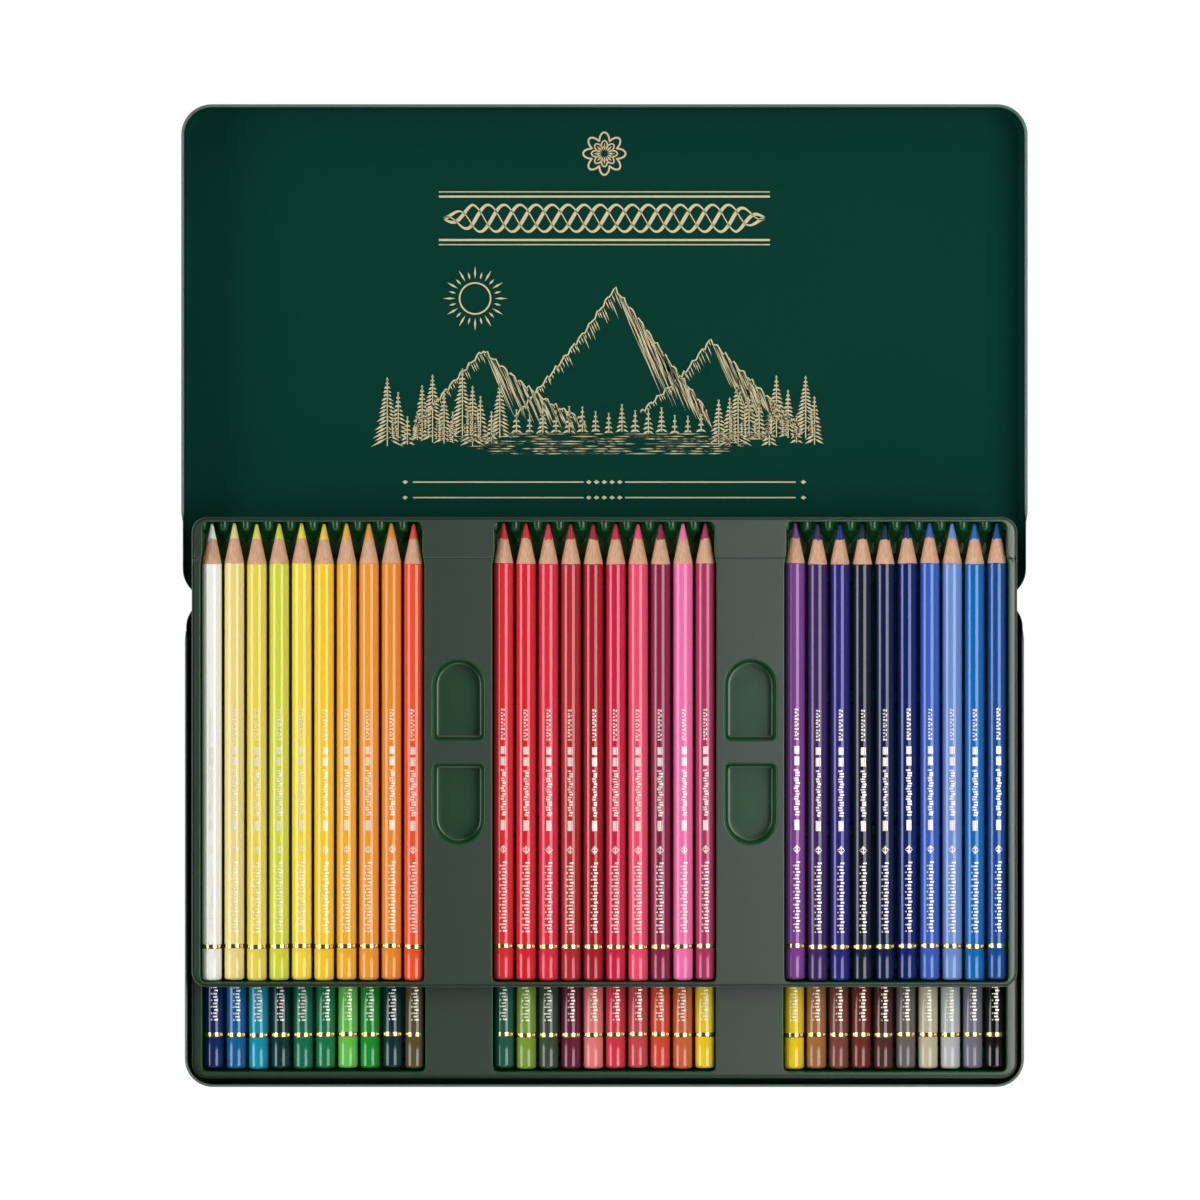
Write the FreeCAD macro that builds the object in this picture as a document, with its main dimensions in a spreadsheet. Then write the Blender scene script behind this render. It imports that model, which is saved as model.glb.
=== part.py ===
import FreeCAD
import Part
import math
import os
import Sketcher

# A flat hinged steel tin for sixty round colour pencils, laid open.
# The base stands at the front with its lid opened flat behind it. Two moulded plastic trays lie one
# above the other. The upper one is slid back over the hinge, so the lower row shows at the front.
# Millimetres. +X to the right, +Y from the base towards the lid, +Z up. The origin is the middle of
# the underside of the base.

SIZES = {
    # Pencils: all else follows from them
    "pencil_length": 175.0,
    "pencil_radius": 3.8,
    "pencil_gap": 1.0,
    "lower_pencil_shift": 0.5,
    "lead_radius": 1.9,
    "tip_radius": 0.5,
    "cone_length": 15.7,
    "dip_thickness": 1.0,
    "heel_round": 1.4,
    # Moulded trays
    "tray_plastic": 0.8,
    "pencil_seat_height": 4.5,
    "rim_above_pencils": 1.5,
    "bay_side_play": 0.2,
    "bay_end_play": 0.85,
    "bay_corner": 2.2,
    "upper_tray_side_edge": 3.0,
    "upper_tray_end_edge": 1.65,
    "lower_tray_side_edge": 3.9,
    "lower_tray_end_edge": 2.35,
    "tray_corner": 6.0,
    "tray_skirt": 3.0,
    "tray_floor_gap": 0.1,
    "tray_stack_gap": 0.6,
    "upper_tray_home": 0.0,
    "upper_tray_slide": 35.2,
    "tip_shelf": 3.3,
    "shelf_below_axis": 0.8,
    "bar_width": 6.0,
    "bar_below_axis": 1.2,
    "groove_clearance": 0.3,
    "tip_groove_radius": 2.0,
    "well_width": 20.2,
    "well_length": 31.4,
    "well_margin": 2.6,
    "well_gap": 8.4,
    "well_depth": 9.0,
    "well_corner": 2.5,
    # Crease of the upper tray
    "flap_depth": 15.9,
    "crease_slit": 0.2,
    "crease_relief": 1.6,
    "gusset_bulge": 0.8,
    "gusset_length": 5.0,
    # Tinplate base and lid
    "plate": 0.4,
    "tray_side_play": 1.7,
    "tray_end_play": 2.4,
    "closed_play": 1.3,
    "lid_overhang": 1.3,
    "wall_overlap": 2.0,
    "base_corner": 10.5,
    "lid_corner": 11.4,
    "bottom_round": 2.6,
    "base_bead_proud": 0.3,
    "lid_bead_proud": 0.4,
    "bead_height": 1.2,
    "bead_round": 0.35,
    "low_wall_drop": 0.9,
    "base_low_wall": 12.0,
    "lid_low_wall": 30.0,
    "lid_back_strip": 3.8,
    "lid_window_margin": 1.8,
    "cut_overrun": 2.0,
    # Hinges
    "hinge_gap": 0.25,
    "knuckle_radius": 1.4,
    "knuckle_length": 6.6,
    "knuckle_gap": 0.2,
    "knuckle_clearance": 0.3,
    "leaf_height": 6.0,
    "pin_radius": 0.7,
    "pin_clearance": 0.05,
    "pin_end": 0.3,
}
PENCILS_IN_BAY = 10
BAYS = {"left": -1, "middle": 0, "right": 1}
# Where the bars under the pencils lie, as shares of the bay length from its middle
BAR_SHARES = (-0.46, -0.17, 0.12, 0.38)
# How far off a height an edge may lie and still count as level with it
LEVEL_SLACK = 1e-4
FULL_TURN = 360


class Size:
    """A length and the spreadsheet expression that gives it."""

    def __init__(self, value, text):
        self.value = value
        self.text = text

    def __add__(self, other):
        return Size(self.value + other.value, f"({self.text} + {other.text})")

    def __sub__(self, other):
        return Size(self.value - other.value, f"({self.text} - {other.text})")

    def __mul__(self, factor):
        return Size(self.value * factor, f"({self.text} * {factor})")

    def __truediv__(self, factor):
        return Size(self.value / factor, f"({self.text} / {factor})")

    def __neg__(self):
        return Size(-self.value, f"(0 - {self.text})")


ZERO = Size(0.0, "0")

doc = FreeCAD.newDocument("pencil_tin")
sheet = doc.addObject("Spreadsheet::Sheet", "Sizes")
for row, (name, value) in enumerate(SIZES.items(), start=1):
    sheet.set(f"A{row}", name)
    sheet.set(f"B{row}", str(value))
    sheet.setAlias(f"B{row}", name)
doc.recompute()


def size(name):
    return Size(SIZES[name], f"Sizes.{name}")


def bind(thing, **properties):
    """Tie properties of an object to sizes; x, y and z are its place."""
    for name, length in properties.items():
        path = f"Placement.Base.{name}" if name in ("x", "y", "z") else name
        thing.setExpression(path, length.text)
    return thing


def new_body(label):
    body = doc.addObject("PartDesign::Body", label)
    body.Label = label
    return body


def new_sketch(body, role, x=ZERO, y=ZERO, z=ZERO, turned=False):
    """A sketch on one of the body's own origin planes, shifted along its own axes."""
    plane = next(feature for feature in body.Origin.OriginFeatures if feature.Role == role)
    drawing = body.newObject("Sketcher::SketchObject", "sketch")
    drawing.AttachmentSupport = (plane, "")
    drawing.MapMode = "FlatFace"
    if turned:
        drawing.AttachmentOffset.Rotation = FreeCAD.Rotation(FreeCAD.Vector(0, 0, 1), 180)
    for name, length in (("x", x), ("y", y), ("z", z)):
        drawing.setExpression(f"AttachmentOffset.Base.{name}", length.text)
    return drawing


def constrain(drawing, length, *words):
    """Add one dimension to a sketch and tie it to its size."""
    index = drawing.addConstraint(Sketcher.Constraint(*words, length.value))
    drawing.setExpression(f"Constraints[{index}]", length.text)


def draw_line(drawing, start, end):
    ends = [FreeCAD.Vector(point[0], point[1], 0) for point in (start, end)]
    return drawing.addGeometry(Part.LineSegment(*ends), False)


def draw_arc(drawing, centre, radius, first, last):
    """An arc between two angles, given in quarter turns."""
    circle = Part.Circle(FreeCAD.Vector(centre[0], centre[1], 0), FreeCAD.Vector(0, 0, 1), radius)
    quarter = math.pi / 2
    return drawing.addGeometry(Part.ArcOfCircle(circle, first * quarter, last * quarter), False)


def rounded_rectangle(drawing, width, depth, corner):
    """A rectangle with rounded corners about the sketch's origin."""
    half_x, half_y, radius = width.value / 2, depth.value / 2, corner.value
    in_x, in_y = half_x - radius, half_y - radius
    first = draw_line(drawing, (-in_x, -half_y), (in_x, -half_y))
    lower_right = draw_arc(drawing, (in_x, -in_y), radius, 3, 4)
    right = draw_line(drawing, (half_x, -in_y), (half_x, in_y))
    upper_right = draw_arc(drawing, (in_x, in_y), radius, 0, 1)
    far = draw_line(drawing, (in_x, half_y), (-in_x, half_y))
    upper_left = draw_arc(drawing, (-in_x, in_y), radius, 1, 2)
    left = draw_line(drawing, (-half_x, in_y), (-half_x, -in_y))
    lower_left = draw_arc(drawing, (-in_x, -in_y), radius, 2, 3)
    loop = [first, lower_right, right, upper_right, far, upper_left, left, lower_left]
    for this, following in zip(loop, loop[1:] + loop[:1]):
        drawing.addConstraint(Sketcher.Constraint("Tangent", this, 2, following, 1))
    for line in (first, far):
        drawing.addConstraint(Sketcher.Constraint("Horizontal", line))
    for line in (right, left):
        drawing.addConstraint(Sketcher.Constraint("Vertical", line))
    for arc in (upper_right, upper_left, lower_left):
        drawing.addConstraint(Sketcher.Constraint("Equal", lower_right, arc))
    drawing.addConstraint(Sketcher.Constraint("Symmetric", first, 1, far, 1, -1, 1))
    constrain(drawing, corner, "Radius", lower_right)
    constrain(drawing, width, "DistanceX", left, 1, right, 1)
    constrain(drawing, depth, "DistanceY", first, 1, far, 2)
    return drawing


def d_shape(drawing, width, length, corner):
    """A D-shaped outline: a straight end at the sketch's X axis, and a half-round far end."""
    half, radius = width.value / 2, corner.value
    shoulder = length.value - half
    near = draw_line(drawing, (-half + radius, 0), (half - radius, 0))
    lower_right = draw_arc(drawing, (half - radius, radius), radius, 3, 4)
    right = draw_line(drawing, (half, radius), (half, shoulder))
    dome = draw_arc(drawing, (0, shoulder), half, 0, 2)
    left = draw_line(drawing, (-half, shoulder), (-half, radius))
    lower_left = draw_arc(drawing, (-half + radius, radius), radius, 2, 3)
    loop = [near, lower_right, right, dome, left, lower_left]
    for this, following in zip(loop, loop[1:] + loop[:1]):
        drawing.addConstraint(Sketcher.Constraint("Tangent", this, 2, following, 1))
    drawing.addConstraint(Sketcher.Constraint("PointOnObject", near, 1, -1))
    drawing.addConstraint(Sketcher.Constraint("Horizontal", near))
    drawing.addConstraint(Sketcher.Constraint("Vertical", right))
    drawing.addConstraint(Sketcher.Constraint("Equal", lower_right, lower_left))
    drawing.addConstraint(Sketcher.Constraint("PointOnObject", dome, 3, -2))
    constrain(drawing, corner, "Radius", lower_right)
    constrain(drawing, width / 2, "Radius", dome)
    constrain(drawing, length - width / 2, "DistanceY", -1, 1, dome, 3)
    return drawing


def polygon(drawing, points):
    """A closed outline of straight lines through points given as pairs of sizes."""
    count = len(points)
    lines = []
    for index, (x, y) in enumerate(points):
        far_x, far_y = points[(index + 1) % count]
        lines.append(draw_line(drawing, (x.value, y.value), (far_x.value, far_y.value)))
    for index, (x, y) in enumerate(points):
        drawing.addConstraint(Sketcher.Constraint("Coincident", lines[index - 1], 2, lines[index], 1))
        for direction, length, axis in (("DistanceX", x, -2), ("DistanceY", y, -1)):
            if length is ZERO:
                drawing.addConstraint(Sketcher.Constraint("PointOnObject", lines[index], 1, axis))
            else:
                constrain(drawing, length, direction, -1, 1, lines[index], 1)
    return drawing


def circles(drawing, centres, radius):
    """Equal circles at points given as pairs of sizes."""
    for x, y in centres:
        middle = FreeCAD.Vector(x.value, y.value, 0)
        circle = drawing.addGeometry(Part.Circle(middle, FreeCAD.Vector(0, 0, 1), radius.value), False)
        constrain(drawing, x, "DistanceX", -1, 1, circle, 3)
        constrain(drawing, y, "DistanceY", -1, 1, circle, 3)
        constrain(drawing, radius, "Radius", circle)
    return drawing


def pad(body, drawing, length, midplane=False):
    feature = body.newObject("PartDesign::Pad", "pad")
    feature.Profile = drawing
    feature.Midplane = midplane
    return bind(feature, Length=length)


def pocket(body, drawing, length, upwards=False, midplane=False):
    """Cut below the sketch, or above it."""
    feature = body.newObject("PartDesign::Pocket", "pocket")
    feature.Profile = drawing
    feature.Reversed = upwards
    feature.Midplane = midplane
    return bind(feature, Length=length)


def round_edges(body, radius, wanted):
    """Fillet the edges of the body's last feature for which wanted(edge) is true."""
    doc.recompute()
    last = body.Tip
    names = [f"Edge{i}" for i, edge in enumerate(last.Shape.Edges, start=1) if wanted(edge)]
    feature = body.newObject("PartDesign::Fillet", "fillet")
    feature.Base = (last, names)
    return bind(feature, Radius=radius)


def level_edges(height):
    """A test for edges that lie level at a height."""

    def is_level(edge):
        ends = (edge.BoundBox.ZMin, edge.BoundBox.ZMax)
        return all(abs(end - height.value) < LEVEL_SLACK for end in ends)

    return is_level


def box(label, width, depth, height, **place):
    return bind(doc.addObject("Part::Box", label), Length=width, Width=depth, Height=height, **place)


def rod(label, radius, length, **place):
    """A cylinder along X from its place."""
    thing = doc.addObject("Part::Cylinder", label)
    thing.Placement.Rotation = FreeCAD.Rotation(FreeCAD.Vector(0, 1, 0), 90)
    return bind(thing, Radius=radius, Height=length, **place)


def fuse(label, things):
    joined = doc.addObject("Part::MultiFuse", label)
    joined.Shapes = things
    return joined


def cut(label, base, tool):
    result = doc.addObject("Part::Cut", label)
    result.Base = base
    result.Tool = tool
    return result


def group(label, things):
    bundle = doc.addObject("Part::Compound", label)
    bundle.Links = things
    return bundle


finished = []


def finish(thing, label):
    thing.Label = label
    finished.append(thing)
    return thing


# Sizes that follow from others: the pencils fill the bays, the bays the trays, and the trays the tin
plate = size("plate")
overrun = size("cut_overrun")
pencil_pitch = size("pencil_radius") * 2 + size("pencil_gap")
pencil_axis = size("pencil_seat_height") + size("pencil_radius")
bay_width = pencil_pitch * PENCILS_IN_BAY + size("bay_side_play") * 2
bay_length = size("pencil_length") + size("bay_end_play") * 2
bay_pitch = bay_width + size("well_width") + size("well_margin") * 2
bays_width = bay_pitch * (len(BAYS) - 1) + bay_width
upper_width = bays_width + size("upper_tray_side_edge") * 2
upper_depth = bay_length + size("upper_tray_end_edge") * 2
lower_width = bays_width + size("lower_tray_side_edge") * 2
lower_depth = bay_length + size("lower_tray_end_edge") * 2
tray_height = pencil_axis + size("pencil_radius") + size("rim_above_pencils")
lower_tray_floor = plate + size("tray_floor_gap")
upper_tray_floor = lower_tray_floor + tray_height + size("tray_stack_gap")
upper_tray_middle = size("upper_tray_home") + size("upper_tray_slide")
closed_height = upper_tray_floor + tray_height + size("closed_play") + plate
base_width = lower_width + (plate + size("tray_side_play")) * 2
base_depth = lower_depth + (plate + size("tray_end_play")) * 2
lid_width = base_width + size("lid_overhang") * 2
lid_depth = base_depth + size("lid_overhang") * 2
hinge_line = base_depth / 2 + size("hinge_gap")
hinge_height = closed_height / 2
hinge_offset = bay_pitch / 2
lid_back = hinge_line + size("hinge_gap")
wall_height = hinge_height + size("wall_overlap")
low_wall = hinge_height - size("low_wall_drop")


# Base and lid: drawn tinplate pans with a rolled rim

def pan(label, width, depth, corner, bead_proud, middle, low_start, low_depth):
    """A shallow pan, open at the top, whose wall is lower from low_start on for low_depth."""
    bead_bottom = wall_height - size("bead_height")
    outside = new_body(f"{label}_outside")
    outline = new_sketch(outside, "XY_Plane", y=middle)
    pad(outside, rounded_rectangle(outline, width, depth, corner), wall_height)
    round_edges(outside, size("bottom_round"), level_edges(ZERO))
    bead = new_sketch(outside, "XY_Plane", y=middle, z=bead_bottom)
    rounded_rectangle(bead, width + bead_proud * 2, depth + bead_proud * 2, corner + bead_proud)
    pad(outside, bead, size("bead_height"))
    round_edges(outside, size("bead_round"), level_edges(wall_height))
    inside = new_body(f"{label}_inside")
    hollow = new_sketch(inside, "XY_Plane", y=middle, z=plate)
    rounded_rectangle(hollow, width - plate * 2, depth - plate * 2, corner - plate)
    pad(inside, hollow, bead_bottom - plate)
    round_edges(inside, size("bottom_round") - plate, level_edges(plate))
    rim = plate + bead_proud
    mouth = new_sketch(inside, "XY_Plane", y=middle, z=size("bottom_round"))
    rounded_rectangle(mouth, width - rim * 2, depth - rim * 2, corner - rim)
    pad(inside, mouth, wall_height - size("bottom_round") + overrun)
    side = width / 2 + overrun
    lowered = box(
        f"{label}_lowered",
        side * 2,
        low_depth,
        wall_height - low_wall + overrun,
        x=-side,
        y=low_start,
        z=low_wall,
    )
    return outside, [inside, lowered]


# Hinges: two stations, each with a leaf on the base, a leaf on the lid and a steel pin through both

station_half = size("knuckle_length") * 1.5 + size("knuckle_gap")
notch_depth = size("knuckle_radius") + size("knuckle_clearance")
leaf_top = hinge_height - notch_depth
bore_radius = size("pin_radius") + size("pin_clearance")
stations = (("left", -hinge_offset), ("right", hinge_offset))


def notched(label, pan_parts, wall_start):
    """Hollow a pan and lower its wall at the hinges, so that the knuckles stand free."""
    outside, spaces = pan_parts
    for station, middle in stations:
        notch = box(
            f"{label}_{station}_notch",
            (station_half + size("knuckle_gap")) * 2,
            plate + overrun * 2,
            notch_depth + overrun,
            x=middle - station_half - size("knuckle_gap"),
            y=wall_start - overrun,
            z=leaf_top,
        )
        spaces.append(notch)
    return finish(cut(label, outside, fuse(f"{label}_space", spaces)), label)


def hinge_leaf(label, middle, leaf_y, knuckle_starts):
    """A plate inside the pan's wall, with a tab up to each knuckle, and the knuckles bored for the pin."""
    leaf_x = middle - station_half
    leaf_z = leaf_top - size("leaf_height")
    leaf = box(f"{label}_plate", station_half * 2, plate, size("leaf_height"), x=leaf_x, y=leaf_y, z=leaf_z)
    parts = [leaf]
    for start in knuckle_starts:
        tab = box(
            f"{label}_tab",
            size("knuckle_length"),
            plate,
            notch_depth,
            x=middle + start,
            y=leaf_y,
            z=leaf_top,
        )
        knuckle = rod(
            f"{label}_knuckle",
            size("knuckle_radius"),
            size("knuckle_length"),
            x=middle + start,
            y=hinge_line,
            z=hinge_height,
        )
        parts += [tab, knuckle]
    bore = rod(
        f"{label}_bore",
        bore_radius,
        (station_half + overrun) * 2,
        x=leaf_x - overrun,
        y=hinge_line,
        z=hinge_height,
    )
    return finish(cut(label, fuse(f"{label}_joined", parts), bore), label)


base_wall_start = base_depth / 2 - plate
base_pan = pan(
    "base_pan",
    base_width,
    base_depth,
    size("base_corner"),
    size("base_bead_proud"),
    ZERO,
    base_depth / 2 - size("base_low_wall"),
    size("base_low_wall") + overrun,
)
notched("tin_base", base_pan, base_wall_start)
lid_pan = pan(
    "lid_pan",
    lid_width,
    lid_depth,
    size("lid_corner"),
    size("lid_bead_proud"),
    lid_back + lid_depth / 2,
    lid_back - overrun,
    size("lid_low_wall") + overrun,
)
# The upper tray is still on its way home while the lid swings over, so the back wall of the lid is low
# behind the three bays and keeps its height at the hinges and corners.
lid_outside, lid_spaces = lid_pan
window_width = bay_width + (size("tray_plastic") + size("lid_window_margin")) * 2
for bay, side in BAYS.items():
    window = box(
        f"lid_{bay}_window",
        window_width,
        plate + overrun * 3,
        wall_height,
        x=bay_pitch * side - window_width / 2,
        y=lid_back - overrun,
        z=size("lid_back_strip"),
    )
    lid_spaces.append(window)
notched("tin_lid", lid_pan, lid_back)
side_knuckles = (-station_half, station_half - size("knuckle_length"))
centre_knuckle = (-size("knuckle_length") / 2,)
for station, middle in stations:
    hinge_leaf(f"base_hinge_leaf_{station}", middle, base_wall_start - plate, side_knuckles)
    hinge_leaf(f"lid_hinge_leaf_{station}", middle, lid_back + plate, centre_knuckle)
    pin_start = middle - station_half - size("pin_end")
    pin_length = station_half * 2 + size("pin_end") * 2
    pin = rod("pin", size("pin_radius"), pin_length, x=pin_start, y=hinge_line, z=hinge_height)
    finish(pin, f"hinge_pin_{station}")


# Trays: thin moulded plastic with three bays, four finger wells and scalloped bars under the pencils

def prism(label, width, depth, corner, height, z=ZERO, y=ZERO):
    """A block with rounded upright edges about the Z axis."""
    body = new_body(label)
    outline = new_sketch(body, "XY_Plane", y=y, z=z)
    pad(body, rounded_rectangle(outline, width, depth, corner), height)
    return body


def copies(label, thing, places):
    """The same solid at several places, each place a pair of sizes and whether it is turned round."""
    placed = []
    for index, (x, y, turned) in enumerate(places):
        copy = group(f"{label}_{index}", [thing])
        if turned:
            copy.Placement.Rotation = FreeCAD.Rotation(FreeCAD.Vector(0, 0, 1), 180)
        placed.append(bind(copy, x=x, y=y))
    return placed


def comb(label, depth, base_height, crest, groove_radius):
    """A crosswise bar with one round notch under each pencil of a bay, about the Z axis."""
    body = new_body(label)
    half_width = (bay_width + size("tray_plastic")) / 2
    outline = new_sketch(body, "XY_Plane", z=base_height)
    polygon(outline, rectangle_points(ZERO, ZERO, half_width, depth / 2))
    pad(body, outline, crest - base_height)
    rows = [pencil_pitch * (index - (PENCILS_IN_BAY - 1) / 2) for index in range(PENCILS_IN_BAY)]
    notches = new_sketch(body, "XZ_Plane")
    circles(notches, [(x, pencil_axis) for x in rows], groove_radius)
    pocket(body, notches, depth + overrun, midplane=True)
    return body


def tray_moulding(label, width, depth, creased):
    """One tray about the middle of its underside, with its bays, wells and bars."""
    plastic = size("tray_plastic")
    skirt_bottom = tray_height - size("tray_skirt")
    corner = size("tray_corner")
    plate_body = prism(f"{label}_rim", width, depth, corner, size("tray_skirt"), z=skirt_bottom)
    under = new_sketch(plate_body, "XY_Plane", z=skirt_bottom)
    rounded_rectangle(under, width - plastic * 2, depth - plastic * 2, corner - plastic)
    pocket(plate_body, under, size("tray_skirt") - plastic, upwards=True)

    # A bay: full length at the level of the pencil tips, shorter below, so that its end clears the lid
    shelf_bottom = pencil_axis - size("tip_groove_radius") - plastic
    deep_length = bay_length - size("tip_shelf")
    deep_y = -size("tip_shelf") / 2
    gusset_y = depth / 2 - size("flap_depth")
    gusset_width = bay_width + size("gusset_bulge") * 2
    walls = []
    spaces = []
    for side, kept, extra, floor in (("outer", walls, plastic * 2, ZERO), ("inner", spaces, ZERO, plastic)):
        high = shelf_bottom + floor
        above = tray_height - high
        rounding = size("bay_corner") + extra / 2
        kept.append(
            prism(f"{label}_bay_{side}", bay_width + extra, bay_length + extra, rounding, above, z=high)
        )
        foot = (bay_width + extra, deep_length + extra, rounding, tray_height - floor)
        kept.append(prism(f"{label}_foot_{side}", *foot, z=floor, y=deep_y))
        if creased:
            gusset = (gusset_width + extra, size("gusset_length") + extra, rounding, tray_height - floor)
            kept.append(prism(f"{label}_gusset_{side}", *gusset, z=floor, y=gusset_y))
    bay_places = [(bay_pitch * side, ZERO, False) for side in BAYS.values()]

    # Finger wells: two D-shaped bowls back to back in each flat
    well_floor = tray_height - size("well_depth")
    well_places = []
    for side in (-1, 1):
        for end in (-1, 1):
            well_places.append((hinge_offset * side, size("well_gap") / 2 * end, end < 0))
    outer_well = new_body(f"{label}_well_outer")
    bowl = new_sketch(outer_well, "XY_Plane", y=-plastic, z=well_floor - plastic)
    outer_width = size("well_width") + plastic * 2
    d_shape(bowl, outer_width, size("well_length") + plastic * 2, size("well_corner") + plastic)
    pad(outer_well, bowl, size("well_depth") + plastic)
    inner_well = new_body(f"{label}_well_inner")
    bowl = new_sketch(inner_well, "XY_Plane", z=well_floor)
    d_shape(bowl, size("well_width"), size("well_length"), size("well_corner"))
    pad(inner_well, bowl, size("well_depth"))

    bay_walls = copies(f"{label}_bay_walls", fuse(f"{label}_bay_wall", walls), bay_places)
    bay_spaces = copies(f"{label}_bay_spaces", fuse(f"{label}_bay_space", spaces), bay_places)
    well_walls = copies(f"{label}_well_walls", outer_well, well_places)
    well_spaces = copies(f"{label}_well_spaces", inner_well, well_places)
    solid = fuse(f"{label}_solid", [plate_body] + bay_walls + well_walls)
    shell = cut(f"{label}_shell", solid, group(f"{label}_spaces", bay_spaces + well_spaces))

    # Bars across the bays, hollow below, and a notched shelf between the pencil tips
    groove_radius = size("pencil_radius") + size("groove_clearance")
    bar = comb(f"{label}_bar", size("bar_width"), ZERO, pencil_axis - size("bar_below_axis"), groove_radius)
    cavity = new_sketch(bar, "XY_Plane")
    cavity_half = size("bar_width") / 2 - plastic
    polygon(cavity, rectangle_points(ZERO, ZERO, bay_width / 2, cavity_half))
    pocket(bar, cavity, pencil_axis - groove_radius - plastic, upwards=True)
    bar_places = [(x, bay_length * share, False) for x, y, turned in bay_places for share in BAR_SHARES]
    shelf_depth = size("tip_shelf") + plastic / 2
    shelf_crest = pencil_axis - size("shelf_below_axis")
    tip_groove = size("tip_groove_radius")
    shelf = comb(f"{label}_tip_shelf", shelf_depth, shelf_bottom, shelf_crest, tip_groove)
    shelf_places = [(x, (bay_length + plastic - shelf_depth) / 2, False) for x, y, turned in bay_places]
    bars = copies(f"{label}_bars", bar, bar_places)
    shelves = copies(f"{label}_tip_shelves", shelf, shelf_places)
    return fuse(label, [shell] + bars + shelves)


def rectangle_points(x, y, half_width, half_depth):
    near, far = y - half_depth, y + half_depth
    left, right = x - half_width, x + half_width
    return [(left, near), (right, near), (right, far), (left, far)]


full_tray = tray_moulding("upper_tray_moulding", upper_width, upper_depth, creased=True)
crease_in_tray = upper_depth / 2 - size("flap_depth")
behind_crease = box(
    "behind_crease",
    upper_width + overrun * 2,
    size("flap_depth") + overrun,
    tray_height + overrun * 2,
    x=-upper_width / 2 - overrun,
    y=crease_in_tray,
    z=-overrun,
)
upper_tray = finish(cut("upper_tray", full_tray, behind_crease), "upper_tray")
bind(upper_tray, y=upper_tray_middle, z=upper_tray_floor)

flap_body = new_body("flap_space")
flap_side = new_sketch(flap_body, "YZ_Plane")
flap_top_y = crease_in_tray + size("crease_slit")
flap_low_y = crease_in_tray + size("crease_relief")
flap_end = upper_depth / 2 + overrun
polygon(flap_side, [(flap_low_y, ZERO), (flap_end, ZERO), (flap_end, tray_height), (flap_top_y, tray_height)])
pad(flap_body, flap_side, upper_width + overrun * 2, midplane=True)
flap = doc.addObject("Part::Common", "upper_tray_flap")
flap.Base = full_tray
flap.Tool = flap_body
finish(flap, "upper_tray_flap")
bind(flap, y=upper_tray_middle, z=upper_tray_floor)

lower_moulding = tray_moulding("lower_tray_moulding", lower_width, lower_depth, creased=False)
lower_tray = finish(group("lower_tray", [lower_moulding]), "lower_tray")
bind(lower_tray, z=lower_tray_floor)


# Pencils: a round cedar casing, lacquered and dipped at the heel, around a thick coloured lead

length = size("pencil_length")
radius = size("pencil_radius")
lead_radius = size("lead_radius")
tip_radius = size("tip_radius")
dip = size("dip_thickness")
lead_share = (SIZES["lead_radius"] - SIZES["tip_radius"]) / (SIZES["pencil_radius"] - SIZES["tip_radius"])
bare_lead = length - size("cone_length") * lead_share


def turned_piece(label, points):
    """Turn a half outline about Y."""
    body = new_body(label)
    drawing = new_sketch(body, "XY_Plane")
    polygon(drawing, points)
    turning = body.newObject("PartDesign::Revolution", "turning")
    turning.Profile = drawing
    turning.ReferenceAxis = (drawing, ["V_Axis"])
    turning.Angle = FULL_TURN
    return body




def around_heel(edge):
    """A test for the rim of the flat heel face."""
    return edge.BoundBox.YMax < dip.value / 2 and edge.Length > radius.value


casing = turned_piece(
    "pencil_casing",
    [
        (ZERO, ZERO),
        (radius, ZERO),
        (radius, length - size("cone_length")),
        (lead_radius, bare_lead),
        (lead_radius, dip),
        (ZERO, dip),
    ],
)
round_edges(casing, size("heel_round"), around_heel)
lead = turned_piece(
    "pencil_lead",
    [(ZERO, dip), (lead_radius, dip), (lead_radius, bare_lead), (tip_radius, length), (ZERO, length)],
)
upper_heel = upper_tray_middle - length / 2
upper_axis = upper_tray_floor + pencil_axis
lower_heel = size("lower_pencil_shift") - length / 2
lower_axis = lower_tray_floor + pencil_axis
for bay, side in BAYS.items():
    lower_row = []
    for index in range(PENCILS_IN_BAY):
        x = bay_pitch * side + pencil_pitch * (index - (PENCILS_IN_BAY - 1) / 2)
        number = index + 1
        upper_pencil = group(f"upper_{bay}_{number}", [casing, lead])
        bind(upper_pencil, x=x, y=upper_heel, z=upper_axis)
        finish(upper_pencil, f"pencil_{bay}_{number:02d}")
        lower_pencil = group(f"lower_{bay}_{number}", [casing, lead])
        lower_row.append(bind(lower_pencil, x=x, y=lower_heel, z=lower_axis))
    finish(group(f"lower_{bay}_row", lower_row), f"lower_{bay}_pencils")


# Check every object, then write the pieces

doc.recompute()
for thing in doc.Objects:
    if {"Invalid", "Error"} & set(thing.State):
        raise RuntimeError(f"{thing.Name} ({thing.Label}) failed: {thing.State}")
for thing in finished:
    if thing.Shape.isNull() or not thing.Shape.isValid():
        raise RuntimeError(f"{thing.Label} has no valid shape")
os.makedirs("parts", exist_ok=True)
for thing in finished:
    thing.Shape.exportStep(f"parts/{thing.Label}.step")
    bounds = thing.Shape.optimalBoundingBox(False, False)
    print(
        f"{thing.Label}: {len(thing.Shape.Solids)} solids, {thing.Shape.Volume:.1f} mm3,",
        f"x {bounds.XMin:.2f} to {bounds.XMax:.2f}, y {bounds.YMin:.2f} to {bounds.YMax:.2f},",
        f"z {bounds.ZMin:.2f} to {bounds.ZMax:.2f}",
    )
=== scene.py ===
"""Looks of a colored pencil tin: lacquered tinplate, two moulded trays and sixty pencils.

Sizes are in millimetres and turned to metres when a mesh is made; lamps and camera stand in metres.
The sections follow the object as it is put together: base, lid, print, hinges, lower tray, upper tray
with its flap, pencils, and last the floor, the light and the camera.
"""

import math

import bmesh
import bpy
import numpy as np
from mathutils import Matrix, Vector
from mathutils.geometry import tessellate_polygon


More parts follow.
